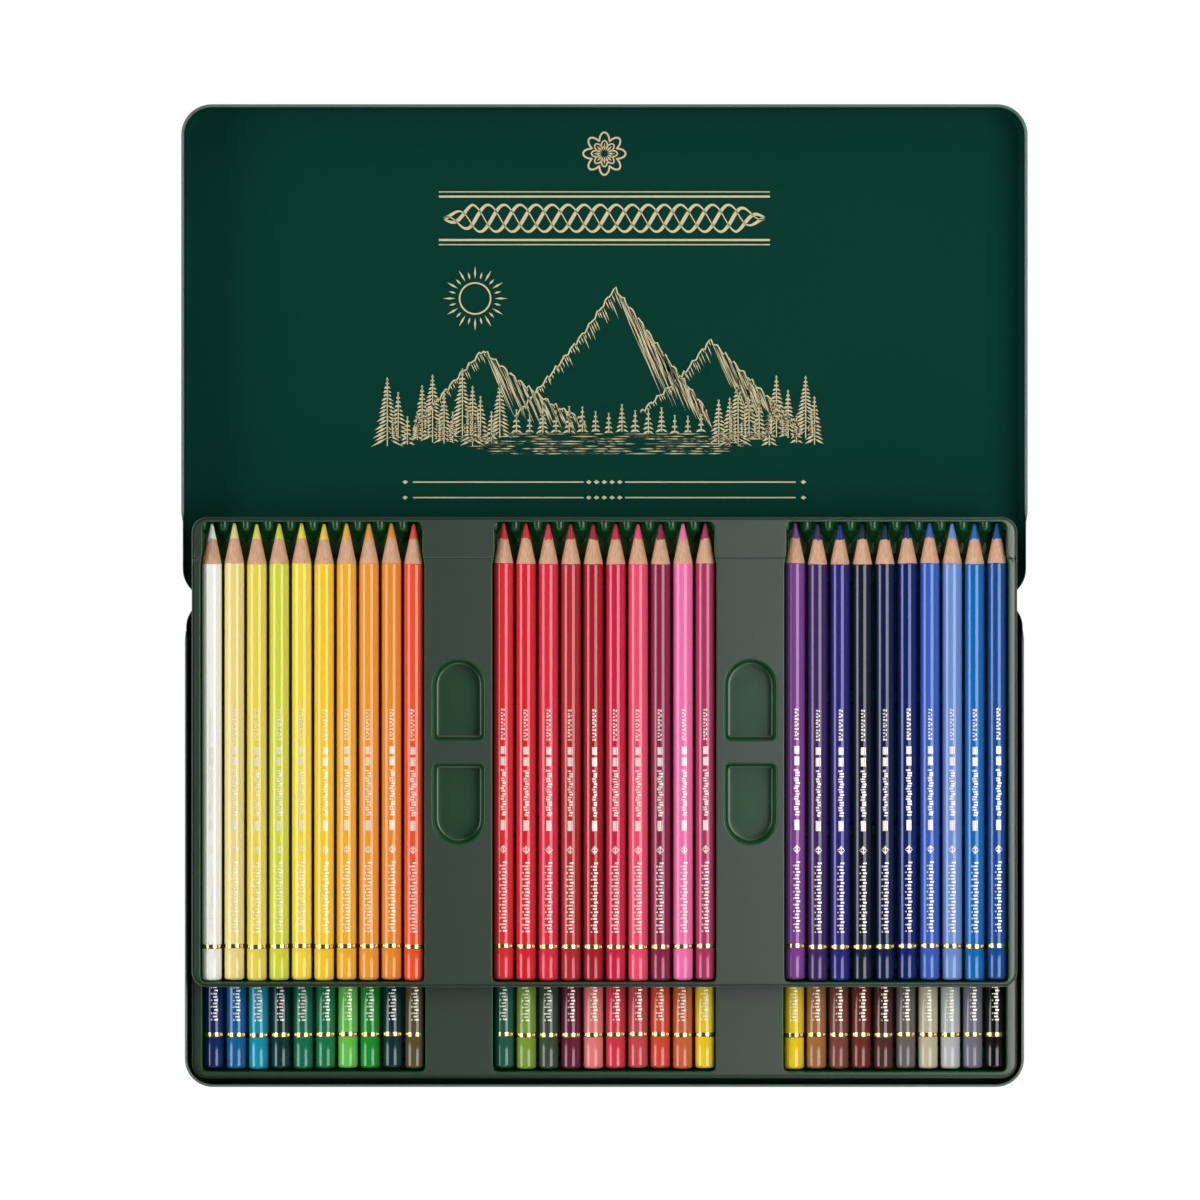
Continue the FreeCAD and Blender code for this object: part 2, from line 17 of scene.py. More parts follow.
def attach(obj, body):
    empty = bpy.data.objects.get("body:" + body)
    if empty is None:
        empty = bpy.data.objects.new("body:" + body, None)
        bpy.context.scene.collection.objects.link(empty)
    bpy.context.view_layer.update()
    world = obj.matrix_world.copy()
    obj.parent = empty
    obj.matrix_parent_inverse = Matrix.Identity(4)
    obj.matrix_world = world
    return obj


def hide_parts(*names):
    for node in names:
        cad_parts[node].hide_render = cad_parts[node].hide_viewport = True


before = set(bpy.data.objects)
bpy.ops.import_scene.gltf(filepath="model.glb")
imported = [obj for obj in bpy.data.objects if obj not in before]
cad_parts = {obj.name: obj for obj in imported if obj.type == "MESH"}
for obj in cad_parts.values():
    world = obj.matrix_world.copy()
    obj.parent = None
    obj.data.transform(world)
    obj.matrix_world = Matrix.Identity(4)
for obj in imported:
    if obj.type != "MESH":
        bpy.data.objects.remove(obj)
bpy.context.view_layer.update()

# Tin base
# A shallow pan drawn from tinplate and lacquered dark green on both sides. Its free edge is rolled
# outward into a bead, and the wall at the hinge is lower, so that the lid can lie flat behind it.

PLATE = 0.4
BASE_HALF = (161.0, 93.5)
BASE_CORNER = 10.5
BASE_BEAD = 0.3
BOTTOM_ROUND = 2.6
WALL_TOP = 17.0
LOW_WALL_TOP = 14.1
BASE_LOW_FROM = 81.5
STEP_HALF = 0.2
BEAD_HEIGHT = 1.2
BEAD_FADE = 3.0
HINGE_X = 55.9
NOTCH_HALF = 10.3
NOTCH_TOP = 13.3
DIMPLE_DEPTH = 0.55
DIMPLE_HALF = 2.4
DIMPLE_LEVEL, DIMPLE_SPREAD = 0.6, 0.22


def outline(half, corner, stops=((), ()), step=5.0, turn=12):
    """Goes once round a rounded rectangle, counterclockwise.

    Gives the centre that each point turns about and the outward direction there, so a point at
    inset d lies at centre + (corner - d) * direction. stops are x and y values that get a point.
    """
    flat_x, flat_y = half[0] - corner, half[1] - corner

    def side(reach, marks):
        even = np.linspace(-reach, reach, max(2, int(2 * reach / step) + 1))
        marks = np.array([m for m in marks if abs(m) < reach])
        return np.unique(np.round(np.concatenate([even, marks]), 4))

    xs, ys = side(flat_x, stops[0]), side(flat_y, stops[1])
    bend = np.linspace(0.0, math.pi / 2, turn + 1)[1:-1]
    centres, ways = [], []
    for line_x, line_y, way in (
        (np.full(len(ys), flat_x), ys, 0.0),
        (xs[::-1], np.full(len(xs), flat_y), math.pi / 2),
        (np.full(len(ys), -flat_x), ys[::-1], math.pi),
        (xs, np.full(len(xs), -flat_y), 1.5 * math.pi),
    ):
        centres.append(np.stack([line_x, line_y], axis=-1))
        ways.append(np.full(len(line_x), way))
        centres.append(np.repeat([[line_x[-1], line_y[-1]]], len(bend), axis=0))
        ways.append(way + bend)
    way = np.concatenate(ways)
    return np.concatenate(centres), np.stack([np.cos(way), np.sin(way)], axis=-1)


def carried(centre, direction, corner, inset, height):
    """A profile carried round an outline: row by row, the point at that inset and height."""
    inset, height = np.broadcast_arrays(inset, height)
    flat = centre[None] + (corner - inset)[..., None] * direction[None]
    return np.concatenate([flat, height[..., None]], axis=-1)


def squares(points, around=False):
    """The four corner numbers of every square of a grid; around joins the last column to the first."""
    rows, columns = points.shape[:2]
    number = np.arange(rows * columns).reshape(rows, columns)
    if around:
        number = np.hstack([number, number[:, :1]])
    corners = [number[:-1, :-1], number[:-1, 1:], number[1:, 1:], number[1:, :-1]]
    return np.stack(corners, axis=-1).reshape(-1, 4)


def piece(name, patches, finishes, facing=None, smooth_below=40.0):
    """One mesh piece from patches (points in mm, faces, number of the finish).

    Points that fall together are merged, so the patches join along their shared edges. A closed
    shell gets its faces turned outward; for an open sheet, facing is the way that it looks.
    """
    points, faces, numbers = [], [], []
    first = 0
    for patch_points, patch_faces, number in patches:
        flat = np.asarray(patch_points, dtype=float).reshape(-1, 3)
        points.append(flat)
        faces += (np.asarray(patch_faces) + first).tolist()
        numbers += [number] * len(patch_faces)
        first += len(flat)
    mesh = bpy.data.meshes.new(name)
    mesh.from_pydata((np.concatenate(points) * 0.001).tolist(), [], faces)
    for finish in finishes:
        mesh.materials.append(finish)
    mesh.polygons.foreach_set("material_index", numbers)
    work = bmesh.new()
    work.from_mesh(mesh)
    bmesh.ops.remove_doubles(work, verts=work.verts, dist=2e-6)
    bmesh.ops.dissolve_degenerate(work, edges=work.edges, dist=1e-6)
    bmesh.ops.recalc_face_normals(work, faces=work.faces)
    if facing is not None:
        seen = sum(face.normal.dot(Vector(facing)) * face.calc_area() for face in work.faces)
        if seen < 0:
            bmesh.ops.reverse_faces(work, faces=work.faces)
    work.to_mesh(mesh)
    work.free()
    mesh.shade_smooth()
    mesh.set_sharp_from_angle(angle=math.radians(smooth_below))
    made = bpy.data.objects.new(name, mesh)
    bpy.context.scene.collection.objects.link(made)
    return made


def pan(half, corner, proud, middle_y, wall_top, stops, dimples=()):
    """Closed shell of a drawn pan, as patches for the floor, the inside, the rolled bead and the outside.

    The profile runs over the floor, up the inside, round the bead, down the outside and back under
    the floor. Its rounds are arcs: the sine of the angle gives the inset and the cosine the height.
    wall_top gives the wall's height and the share of the bead at every point of the outline. A
    dimple pushes the far wall in, by a bell curve along the wall and another up it.
    """
    centre, direction = outline(half, corner, stops)
    rim = centre + corner * direction
    top, bead = wall_top(rim[:, 0], rim[:, 1])
    pushed = np.zeros(len(rim))
    for dimple in dimples:
        pushed += DIMPLE_DEPTH * np.exp(-(((rim[:, 0] - dimple) / DIMPLE_HALF) ** 2)) * (rim[:, 1] > 0)

    def profile(inset, height):
        return carried(centre, direction, corner, inset + 0.0 * top, height + 0.0 * top)

    fillet = np.linspace(0.0, math.pi / 2, 7)[:, None]
    inner = BOTTOM_ROUND - PLATE
    inside = profile(BOTTOM_ROUND - inner * np.sin(fillet), BOTTOM_ROUND - inner * np.cos(fillet))
    outside = profile(BOTTOM_ROUND * (1.0 - np.cos(fillet)), BOTTOM_ROUND * (1.0 - np.sin(fillet)))
    rise = np.linspace(0.0, 1.0, 9)[:, None]
    shoulder = top - BEAD_HEIGHT
    dent = pushed * np.exp(-(((rise - DIMPLE_LEVEL) / DIMPLE_SPREAD) ** 2))
    wall_in = profile(PLATE + dent, BOTTOM_ROUND + (shoulder - BOTTOM_ROUND) * rise)
    wall_out = profile(0.0 * rise, shoulder + (BOTTOM_ROUND - shoulder) * rise)
    roll = np.radians(np.linspace(-50.0, 230.0, 15))[:, None]
    bead_round = (PLATE / 2 + proud * bead) * np.cos(roll)
    rolled = profile(PLATE / 2 + bead_round, top - BEAD_HEIGHT / 2 * (1.0 - np.sin(roll)))
    share = np.linspace(0.0, 1.0, 6)[:, None, None]
    shrink = np.concatenate([share, share, np.ones(share.shape)], axis=2)
    rows = (
        (np.concatenate([inside[0] * shrink, inside[:6]]), 0),
        (np.concatenate([inside[5:], wall_in, rolled[:1]]), 1),
        # The bead takes finish 2, whose pale colour is a painted highlight along the rim.
        (rolled, 2),
        (np.concatenate([rolled[-1:], wall_out, outside, outside[-1] * shrink[::-1]]), 1),
    )
    moved = np.array([0.0, middle_y, 0.0])
    return [(points + moved, squares(points, True), number) for points, number in rows]


def linear(hex_colour):
    """An sRGB hex colour as the linear RGBA that Blender's sockets take."""
    value = np.array([int(hex_colour[i : i + 2], 16) / 255.0 for i in (1, 3, 5)])
    value = np.where(value <= 0.04045, value / 12.92, ((value + 0.055) / 1.055) ** 2.4)
    return (*value.tolist(), 1.0)


def add_node(tree, kind, settings=None, sockets=None):
    """Adds a node, sets its properties, and fills or links its inputs, named or numbered."""
    made = tree.nodes.new(kind)
    for key, value in (settings or {}).items():
        setattr(made, key, value)
    for key, value in (sockets or {}).items():
        if isinstance(value, bpy.types.NodeSocket):
            tree.links.new(value, made.inputs[key])
        else:
            made.inputs[key].default_value = value
    return made


def finish_of(name, sockets, tones=None, relief=None):
    """A new material with one Principled shader, its tree, and Object coordinates for patterns.

    tones is (size, detail, dark, light): the colour wanders between the two by a noise of that size
    in mm. relief is (size, detail, strength, height): a second noise stands up by that height in mm.
    """
    made = bpy.data.materials.new(name)
    made.use_nodes = True
    tree = made.node_tree
    tree.nodes.clear()
    shader = add_node(tree, "ShaderNodeBsdfPrincipled", sockets=sockets)
    add_node(tree, "ShaderNodeOutputMaterial", sockets={"Surface": shader.outputs["BSDF"]})
    place = add_node(tree, "ShaderNodeTexCoord").outputs["Object"]
    if tones:
        size, detail, dark, light = tones
        spread = {"Vector": place, "Scale": 1000 / size, "Detail": detail}
        cloud = add_node(tree, "ShaderNodeTexNoise", sockets=spread).outputs["Fac"]
        colours = {"Factor": cloud, 6: linear(dark), 7: linear(light)}
        tone = add_node(tree, "ShaderNodeMix", {"data_type": "RGBA"}, colours)
        tree.links.new(tone.outputs[2], shader.inputs["Base Color"])
    if relief:
        size, detail, strength, height = relief
        spread = {"Vector": place, "Scale": 1000 / size, "Detail": detail}
        grain = add_node(tree, "ShaderNodeTexNoise", sockets=spread).outputs["Fac"]
        raised = {"Height": grain, "Strength": strength, "Distance": height * 0.001}
        bump = add_node(tree, "ShaderNodeBump", sockets=raised)
        tree.links.new(bump.outputs["Normal"], shader.inputs["Normal"])
    return made, tree, shader, place


def stoved_enamel(name, dark, light, roughness, specular, coat):
    """Dark green enamel, roller coated on tinplate and stoved.

    Its tone wanders a little over 45 mm, and it has a fine orange peel of about 0.8 mm. The flat
    floors are printed over and matt; the walls keep the gloss of the enamel and are painted a shade
    lighter, as painted fill light in their shade; over the rolled rim it keeps the gloss and is painted
    pale grey green, a painted highlight for the bright line that the bead reflects.
    """
    sockets = {
        "Roughness": roughness,
        "IOR": 1.5,
        "Specular IOR Level": specular,
        "Coat Weight": coat,
        "Coat Roughness": 0.12,
    }
    return finish_of(name, sockets, tones=(45.0, 3.0, dark, light), relief=(0.8, 1.0, 0.06, 0.03))[0]


matt_enamel = stoved_enamel("matt_printed_green_enamel", "#07382d", "#083b30", 0.6, 0.02, 0.0)
# The walls' enamel is painted a shade lighter than the floors': painted fill light for the shade in the
# narrow slit between wall and tray.
gloss_enamel_painted_lighter = stoved_enamel("gloss_stoved_enamel_painted_lighter", "#083d2f", "#0a4536", 0.2, 0.6, 0.5)
# Pale grey green painted into the rolled rim: a painted highlight for the bright line along the bead.
rim_painted_highlight_enamel = stoved_enamel("rolled_rim_painted_highlight", "#4b6258", "#566d63", 0.3, 0.6, 0.3)
tin_finishes = [matt_enamel, gloss_enamel_painted_lighter, rim_painted_highlight_enamel]


def ease(value, low, high):
    """0 below low, 1 above high, and a smooth S between."""
    share = np.clip((value - low) / (high - low), 0.0, 1.0)
    return share * share * (3.0 - 2.0 * share)


def past(value, edge):
    """0 before an edge and 1 past it, for a steep step in a wall."""
    return ease(value, edge - STEP_HALF, edge + STEP_HALF)


def pairs(*edges):
    """The stops that a steep step needs: two at each edge, and two at its mirror image."""
    near = [edge + part for edge in edges for part in (-STEP_HALF, STEP_HALF)]
    return (*near, *(-stop for stop in near))


def in_notches(x):
    """1 within the notch at each hinge, 0 outside."""
    return 1.0 - past(np.abs(np.abs(x) - HINGE_X), NOTCH_HALF)


def stepped_wall(low, notch):
    """Height of a wall that drops to its low part near the hinge, and further in the notches."""
    return WALL_TOP - (WALL_TOP - LOW_WALL_TOP) * low - (LOW_WALL_TOP - NOTCH_TOP) * notch


def base_wall_top(x, y):
    """Full height, then lower from 12 mm before the hinge, where the bead runs out too."""
    top = stepped_wall(past(y, BASE_LOW_FROM), in_notches(x) * (y > BASE_HALF[1] - 1.0))
    return top, 1.0 - ease(y, BASE_LOW_FROM - BEAD_FADE, BASE_LOW_FROM)


notch_stops = pairs(HINGE_X - NOTCH_HALF, HINGE_X + NOTCH_HALF)
low_stops = tuple(BASE_LOW_FROM + part for part in (-BEAD_FADE, -BEAD_FADE / 2, -STEP_HALF, STEP_HALF))
base_shell = pan(BASE_HALF, BASE_CORNER, BASE_BEAD, 0.0, base_wall_top, (notch_stops, low_stops))
tin_base = piece("lacquered_base_pan", base_shell, tin_finishes)
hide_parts("tin_base")
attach(tin_base, "base")

# Tin lid
# The second pan, a little larger than the base and drawn from the same lacquered tinplate. It lies
# open. Its hinge wall has three wide windows, which let the upper tray pass, and two small dimples
# in its far wall snap over the base when it is shut.

LID_PLAY = 1.3
LID_HALF = (BASE_HALF[0] + LID_PLAY, BASE_HALF[1] + LID_PLAY)
LID_CORNER = 11.4
LID_BEAD = 0.4
LID_MIDDLE = 188.8
LID_LOW_EDGE = -64.8
BAY_PITCH = 2 * HINGE_X
WINDOW_HALF = 45.8
WINDOW_SILL = 3.8
WINDOW_REACH = 4.4
LID_DIMPLES = (-130.0, 130.0)


def lid_wall_top(x, y):
    """Low for 30 mm from the hinge, with a notch at each hinge and a window for each bay."""
    back = y < WINDOW_REACH - LID_HALF[1]
    from_window = np.abs(x - np.round(x / BAY_PITCH) * BAY_PITCH)
    window = back * (1.0 - past(from_window, WINDOW_HALF))
    top = stepped_wall(1.0 - past(y, LID_LOW_EDGE), back * in_notches(x))
    top = top * (1.0 - window) + WINDOW_SILL * window
    return top, ease(y, LID_LOW_EDGE, LID_LOW_EDGE + BEAD_FADE)


window_stops = pairs(WINDOW_HALF, BAY_PITCH - WINDOW_HALF, BAY_PITCH + WINDOW_HALF)
near_dimple = (-4.0, -2.5, -1.2, 0.0, 1.2, 2.5, 4.0)
dimple_stops = tuple(place + part for place in LID_DIMPLES for part in near_dimple)
lid_stops = (
    notch_stops + window_stops + dimple_stops,
    tuple(LID_LOW_EDGE + part for part in (-STEP_HALF, STEP_HALF, BEAD_FADE / 2, BEAD_FADE)),
)
lid_shell = pan(LID_HALF, LID_CORNER, LID_BEAD, LID_MIDDLE, lid_wall_top, lid_stops, LID_DIMPLES)
tin_lid = piece("lacquered_lid_pan", lid_shell, tin_finishes)
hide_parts("tin_lid")
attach(tin_lid, "lid")

# Print inside the lid
# One colour of cream ink on the enamel, in the manner of an old engraving: a mountain lake with
# pines, a braided band above it, a rosette at the top and two ruled lines below. The ink stands
# 0.05 mm proud of the lid's floor.

INK_LEVEL = PLATE + 0.05
SHORE = 156.0
SUN = np.array([-50.0, 210.0])
ROSETTE = np.array([0.0, 266.0])
BAND_LEVEL = 241.0
BAND_HALF = 64.0
RULED_LEVELS = (139.0, 133.0)


def strokes(start, end, width):
    """Tapered pen strokes: each is a flat lozenge from start to end, widest near its middle."""
    start, end = np.asarray(start, dtype=float), np.asarray(end, dtype=float)
    along = end - start
    length = np.maximum(np.linalg.norm(along, axis=1, keepdims=True), 1e-9)
    across = np.stack([-along[:, 1], along[:, 0]], axis=1) / length * np.reshape(width, (-1, 1)) / 2
    middle = start + along * 0.45
    corners = np.stack([start, middle - across, end, middle + across], axis=1)
    flat = np.concatenate([corners, np.full(corners.shape[:2] + (1,), INK_LEVEL)], axis=2)
    return flat.reshape(-1, 3), np.arange(len(start) * 4).reshape(-1, 4), 0


def level_strokes(x, y, half, width):
    """Strokes that lie level, each reaching by half to both sides of its middle."""
    return strokes(np.stack([x - half, y], axis=1), np.stack([x + half, y], axis=1), width)


def ribbon(x, y, width, around=False):
    """A ruled or curved line: the points x, y widened to both sides along their normals."""
    line = np.stack([x, y], axis=1)
    step = np.roll(line, -1, axis=0) - np.roll(line, 1, axis=0) if around else np.gradient(line, axis=0)
    across = np.stack([-step[:, 1], step[:, 0]], axis=1) / np.linalg.norm(step, axis=1, keepdims=True)
    across = across * np.reshape(width, (-1, 1)) / 2
    sides = np.stack([line - across, line + across])
    points = np.concatenate([sides, np.full(sides.shape[:2] + (1,), INK_LEVEL)], axis=2)
    return points, squares(points, around), 0


def once_round(count):
    """Evenly spaced angles, once round a circle."""
    return np.linspace(0.0, 2.0 * math.pi, count + 1)[:-1]


def closed_line(centre, radius, width):
    """A closed line about a centre, with one radius for each of its evenly spaced points."""
    turn = once_round(len(radius))
    return ribbon(centre[0] + radius * np.cos(turn), centre[1] + radius * np.sin(turn), width, True)


def rays(centre, start, ends, width):
    """Strokes that point away from a centre, from one radius out to their own ends."""
    turn = once_round(len(ends))
    way = np.stack([np.cos(turn), np.sin(turn)], axis=1)
    return strokes(centre + start * way, centre + ends[:, None] * way, width)


def mountain(random, ridge_x, ridge_y, shade):
    """A ridge line with hatching that falls from it, long on the slopes that drop to the right."""
    x = np.arange(ridge_x[0], ridge_x[-1], 0.8)
    y = np.interp(x, ridge_x, ridge_y) + 0.7 * np.sin(x * 1.9) + 0.4 * np.sin(x * 4.3 + 1.0)
    falls = np.gradient(y, x) < 0
    share = np.where(falls, random.uniform(0.35, 0.8, len(x)), random.uniform(0.04, 0.16, len(x)))
    reach = (y - SHORE) * share
    end = np.stack([x + reach * 0.42, y - reach], axis=1)
    hatch = strokes(np.stack([x, y - 0.2], axis=1), end, np.where(falls, shade, shade * 0.7))
    return [ribbon(x, y, 0.55), hatch]


def waves(random):
    """The lake: rows of level strokes at chance places, a narrower patch towards the viewer."""
    y = SHORE - 6.0 + np.repeat(np.arange(0, 8.0, 0.95), 22)
    x = random.uniform(-58.0, 60.0, len(y)) * (0.72 + 0.28 * ease(y, SHORE - 7.0, SHORE + 1.0))
    return level_strokes(x, y, random.uniform(1.5, 6.5, len(y)), 0.42)


def pine(random, x, foot, height):
    """A pine: a trunk, and pairs of hanging boughs that grow longer towards its foot."""
    tiers = int(height / 1.5)
    level = foot + height * (1.0 - np.linspace(0.03, 0.88, tiers))
    reach = 0.3 + (foot + height - level) * 0.24 * random.uniform(0.8, 1.15, tiers)
    drop = reach * 0.55
    trunk = np.full(tiers, x)
    left = strokes(np.stack([trunk, level], 1), np.stack([x - reach, level - drop], 1), 0.95)
    right = strokes(np.stack([trunk, level], 1), np.stack([x + reach, level - drop], 1), 0.75)
    stem = ribbon(np.array([x, x]), np.array([foot, foot + height]), 0.4)
    return [left, right, stem]


def forest(random):
    """Tall pines in a clump at either side, and a row of small ones on the far shore."""
    patches = []
    for x in np.concatenate([np.arange(-84.0, -38.0, 3.6), np.arange(44.0, 84.0, 3.8)]):
        tall = random.uniform(15.0, 31.0) * (0.62 + 0.38 * math.sin(abs(x) * 0.21) ** 2)
        place, foot = x + random.uniform(-0.9, 0.9), SHORE - 1.0 + random.uniform(-2.5, 2.0)
        patches += pine(random, place, foot, tall)
    for x in np.arange(-34.0, 42.0, 5.1):
        foot = SHORE + 2.2 + random.uniform(-0.6, 0.6)
        patches += pine(random, x, foot, random.uniform(6.0, 12.0))
    return patches


def braided_band():
    """Three sine waves a third of a turn apart, which swell from the ends, between ruled lines."""
    run = np.linspace(2.0 - BAND_HALF, BAND_HALF - 2.0, 249)
    swell = 5.2 * np.minimum(1.0, (BAND_HALF - 1.0 - np.abs(run)) / 12.0)
    patches = []
    for shift in (0.0, 2.0 * math.pi / 3, 4.0 * math.pi / 3):
        turn = run * 2.0 * math.pi / 18.6 + shift
        patches.append(ribbon(run, BAND_LEVEL + swell * np.sin(turn), 0.9 + 0.5 * np.cos(turn)))
    for above, wide in ((8.4, 0.8), (10.2, 0.4), (-8.4, 0.8), (-10.2, 0.4)):
        patches.append(ribbon(np.array([-BAND_HALF, BAND_HALF]), np.full(2, BAND_LEVEL + above), wide))
    return patches


def rosette():
    """Two closed lines with eight petals, whose radius follows the cosine, and a star of rays."""
    petals = 0.62 + 0.38 * np.abs(np.cos(4.0 * once_round(144)))
    lines = [closed_line(ROSETTE, reach * petals, wide) for reach, wide in ((8.2, 0.7), (5.0, 0.55))]
    return [*lines, rays(ROSETTE, 1.2, np.full(16, 4.2), 0.8)]


def ruled_lines():
    """Two lines that are broken in the middle by five lozenges, with one more past each end."""
    patches = []
    spots = np.concatenate([np.arange(-6.0, 6.1, 3.0), [-77.0, 77.0]])
    for level in RULED_LEVELS:
        for side in (-1.0, 1.0):
            patches.append(ribbon(side * np.array([8.0, 74.0]), np.full(2, level), 0.5))
        patches.append(level_strokes(spots, np.full(len(spots), level), 1.1, 1.6))
    return patches


def lid_print():
    """All the patches of the print, from the mountains to the ruled lines."""
    random = np.random.default_rng(12)
    patches = mountain(random, [-74, -60, -47, -33, -20, -8], [160, 176, 190, 178, 169, 163], 0.55)
    patches += mountain(random, [14, 30, 41, 52, 63, 76], [166, 180, 194, 183, 172, 160], 0.55)
    patches += mountain(random, [-34, -18, -7, 4, 14, 24, 40], [165, 184, 198, 214, 201, 187, 166], 0.65)
    patches.append(closed_line(SUN, np.full(40, 6.0), 0.6))
    patches.append(rays(SUN, 7.6, np.tile([12.5, 10.5], 12), 0.8))
    patches.append(waves(random))
    return patches + forest(random) + braided_band() + rosette() + ruled_lines()


def cream_ink():
    """Offset ink in cream over the enamel: thin, a little matt, and uneven in tone over 2.5 mm."""
    sockets = {"Roughness": 0.5, "IOR": 1.48}
    return finish_of("cream_offset_ink", sockets, tones=(2.5, 4.0, "#c9b98d", "#dccda2"))[0]


printed = piece("cream_print_in_lid", lid_print(), [cream_ink()], facing=(0, 0, 1))
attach(printed, "lid")

# Hinge leaves and wire
# At each of the two hinges a leaf of the same tinplate lies inside the base's wall and another inside
# the lid's. Their tongues stand up in the walls' notches and are rolled round a piece of bright wire.
# The wires' CAD solids have the right shape, so they only get their finish.

HINGE_Y, HINGE_Z = 93.75, 15.0
LEAF_FROM_HINGE = 0.85
LEAF_HALF = NOTCH_HALF - 0.2
LEAF_BOTTOM = 7.3
ROLL_RADIUS = 1.2
BASE_TONGUE_FROM = 3.5
LID_TONGUE_HALF = BASE_TONGUE_FROM - 0.2
BASE_TONGUES = ((-LEAF_HALF, -BASE_TONGUE_FROM), (BASE_TONGUE_FROM, LEAF_HALF))
LID_TONGUES = ((-LID_TONGUE_HALF, LID_TONGUE_HALF),)


def hinge_leaf(name, station, side, tongues):
    """A leaf as a bent sheet, which gets its wall's thickness afterwards.

    side is -1 for the base's leaf and 1 for the lid's. Each tongue climbs to the circle about the
    wire and goes on round it for 320 degrees; the bent line is moved along x.
    """
    leaf_y = HINGE_Y + side * LEAF_FROM_HINGE
    start = math.acos(side * LEAF_FROM_HINGE / ROLL_RADIUS)
    angle = -start + side * np.radians(np.linspace(0.0, 320.0, 33))
    line_y = np.concatenate([[leaf_y], HINGE_Y + ROLL_RADIUS * np.cos(angle)])
    line_z = np.concatenate([[NOTCH_TOP], HINGE_Z + ROLL_RADIUS * np.sin(angle)])
    spans = [np.linspace(*tongue, 3) for tongue in tongues]
    marks = np.unique(np.concatenate([[-LEAF_HALF, LEAF_HALF], *spans]))
    plate_x, plate_z = np.meshgrid(marks, np.linspace(LEAF_BOTTOM, NOTCH_TOP, 4))
    plate = np.stack([plate_x + station, np.full(plate_x.shape, leaf_y), plate_z], axis=-1)
    patches = [(plate, squares(plate), 0)]
    for span in spans:
        along, around_y = np.meshgrid(station + span, line_y)
        rolled = np.stack([along, around_y, np.broadcast_to(line_z[:, None], along.shape)], axis=-1)
        patches.append((rolled, squares(rolled), 0))
    return piece(name, patches, [gloss_enamel_painted_lighter])


def give_thickness(made, thickness, offset):
    """Turns a sheet into a wall of that thickness, in mm; offset -1 grows it behind the faces."""
    wall = made.modifiers.new("wall", "SOLIDIFY")
    wall.thickness = thickness * 0.001
    wall.offset = offset
    wall.use_even_offset = False


for end_name, station in (("left", -HINGE_X), ("right", HINGE_X)):
    for body_name, side, tongues in (("base", -1.0, BASE_TONGUES), ("lid", 1.0, LID_TONGUES)):
        leaf = hinge_leaf(f"rolled_{body_name}_leaf_{end_name}", station, side, tongues)
        give_thickness(leaf, PLATE, 0.0)
        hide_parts(f"{body_name}_hinge_leaf_{end_name}")
        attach(leaf, body_name)


def drawn_steel():
    """Bright drawn steel wire: a clean metal with faint draw lines 0.1 mm apart, along x."""
    made, tree, shader, place = finish_of("bright_drawn_steel_wire", {"Metallic": 1.0, "Roughness": 0.28})
    stretched = {"Vector": place, "Scale": (30.0, 10000.0, 10000.0)}
    along = add_node(tree, "ShaderNodeMapping", sockets=stretched).outputs[0]
    lines = add_node(tree, "ShaderNodeTexNoise", sockets={"Vector": along, "Scale": 1.0}).outputs["Fac"]
    colours = {"Factor": lines, 6: linear("#a9abad"), 7: linear("#cfd0d2")}
    tone = add_node(tree, "ShaderNodeMix", {"data_type": "RGBA"}, colours)
    tree.links.new(tone.outputs[2], shader.inputs["Base Color"])
    return made


hinge_steel = drawn_steel()
for node_name in ("hinge_pin_left", "hinge_pin_right"):
    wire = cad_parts[node_name]
    wire.data.materials.clear()
    wire.data.materials.append(hinge_steel)

# Lower tray
# Thin dark green polystyrene sheet, vacuum formed. It has three bays for ten pencils each, with
# scalloped bars under them, and four finger wells in the lands between the bays. It lies loose in
# the base.

TRAY_PLASTIC = 0.8
FORMED_WALL = 0.6 * TRAY_PLASTIC
TRAY_TOP = 13.6
TRAY_CORNER = 6.0
LOWER_TRAY_HALF = (158.9, 90.7)
LOWER_TRAY_BOTTOM = 0.5
EDGE_INSETS = (1.2, 1.08, 0.98, 0.82, 0.64, 0.5, 0.4, 0.24, 0.1, 0.02, 0.0, 0.0)
EDGE_FALLS = (0.0, 0.03, 0.3, 0.5, 0.5, 0.2, 0.02, 0.0, 0.12, 0.6, 1.8, 3.0)
LAND_MARGIN = 0.25
BAY_HALF = (43.2, 88.35)
BAY_CORNER = 3.0
BAY_INSETS = (0.0, 0.08, 0.16, 0.25, 0.34, 0.45, 0.6, 0.85, 1.2, 1.7)
BAY_FALLS = (0.0, 0.03, 0.12, 0.35, 1.4, 8.2, 11.4, 12.3, 12.7, TRAY_TOP - TRAY_PLASTIC)
PINCH_FROM, PINCH_TO = 71.0, 77.0
PENCILS_IN_BAY = 10
PENCIL_PITCH = 8.6
PENCIL_PLACES = (np.arange(PENCILS_IN_BAY) + 0.5 - PENCILS_IN_BAY / 2) * PENCIL_PITCH
AXIS_HEIGHT = 8.3
BAR_SHARES = (-0.46, -0.17, 0.12, 0.38)
BAR_CREST = 7.1
BAR_HALF = 3.0
GROOVE = 4.1
PAD_CREST = 7.6
PAD_DEPTH = 4.2
PAD_KEEL = 3.8
WELL_HALF = (10.1, 15.7)
WELL_CENTRE = 19.9
WELL_CORNER = 2.5
WELL_INSETS = (-LAND_MARGIN, 0.0, 0.12, 0.3, 0.5, 0.62, 0.72, 0.85, 1.1, 1.5, 1.95, 2.4)
WELL_FALLS = (0.0, 0.0, 0.06, 0.3, 0.75, 1.6, 5.0, 7.6, 8.6, 9.1, 9.3, 9.35)
WELL_DOME = 0.06


def scallop(x):
    """Height of a bar across the pencils: flat at its crest, with a round groove at each pencil."""
    off = np.minimum(np.abs(x[..., None] - PENCIL_PLACES).min(axis=-1), GROOVE)
    return np.minimum(BAR_CREST, AXIS_HEIGHT - np.sqrt(GROOVE**2 - off**2))


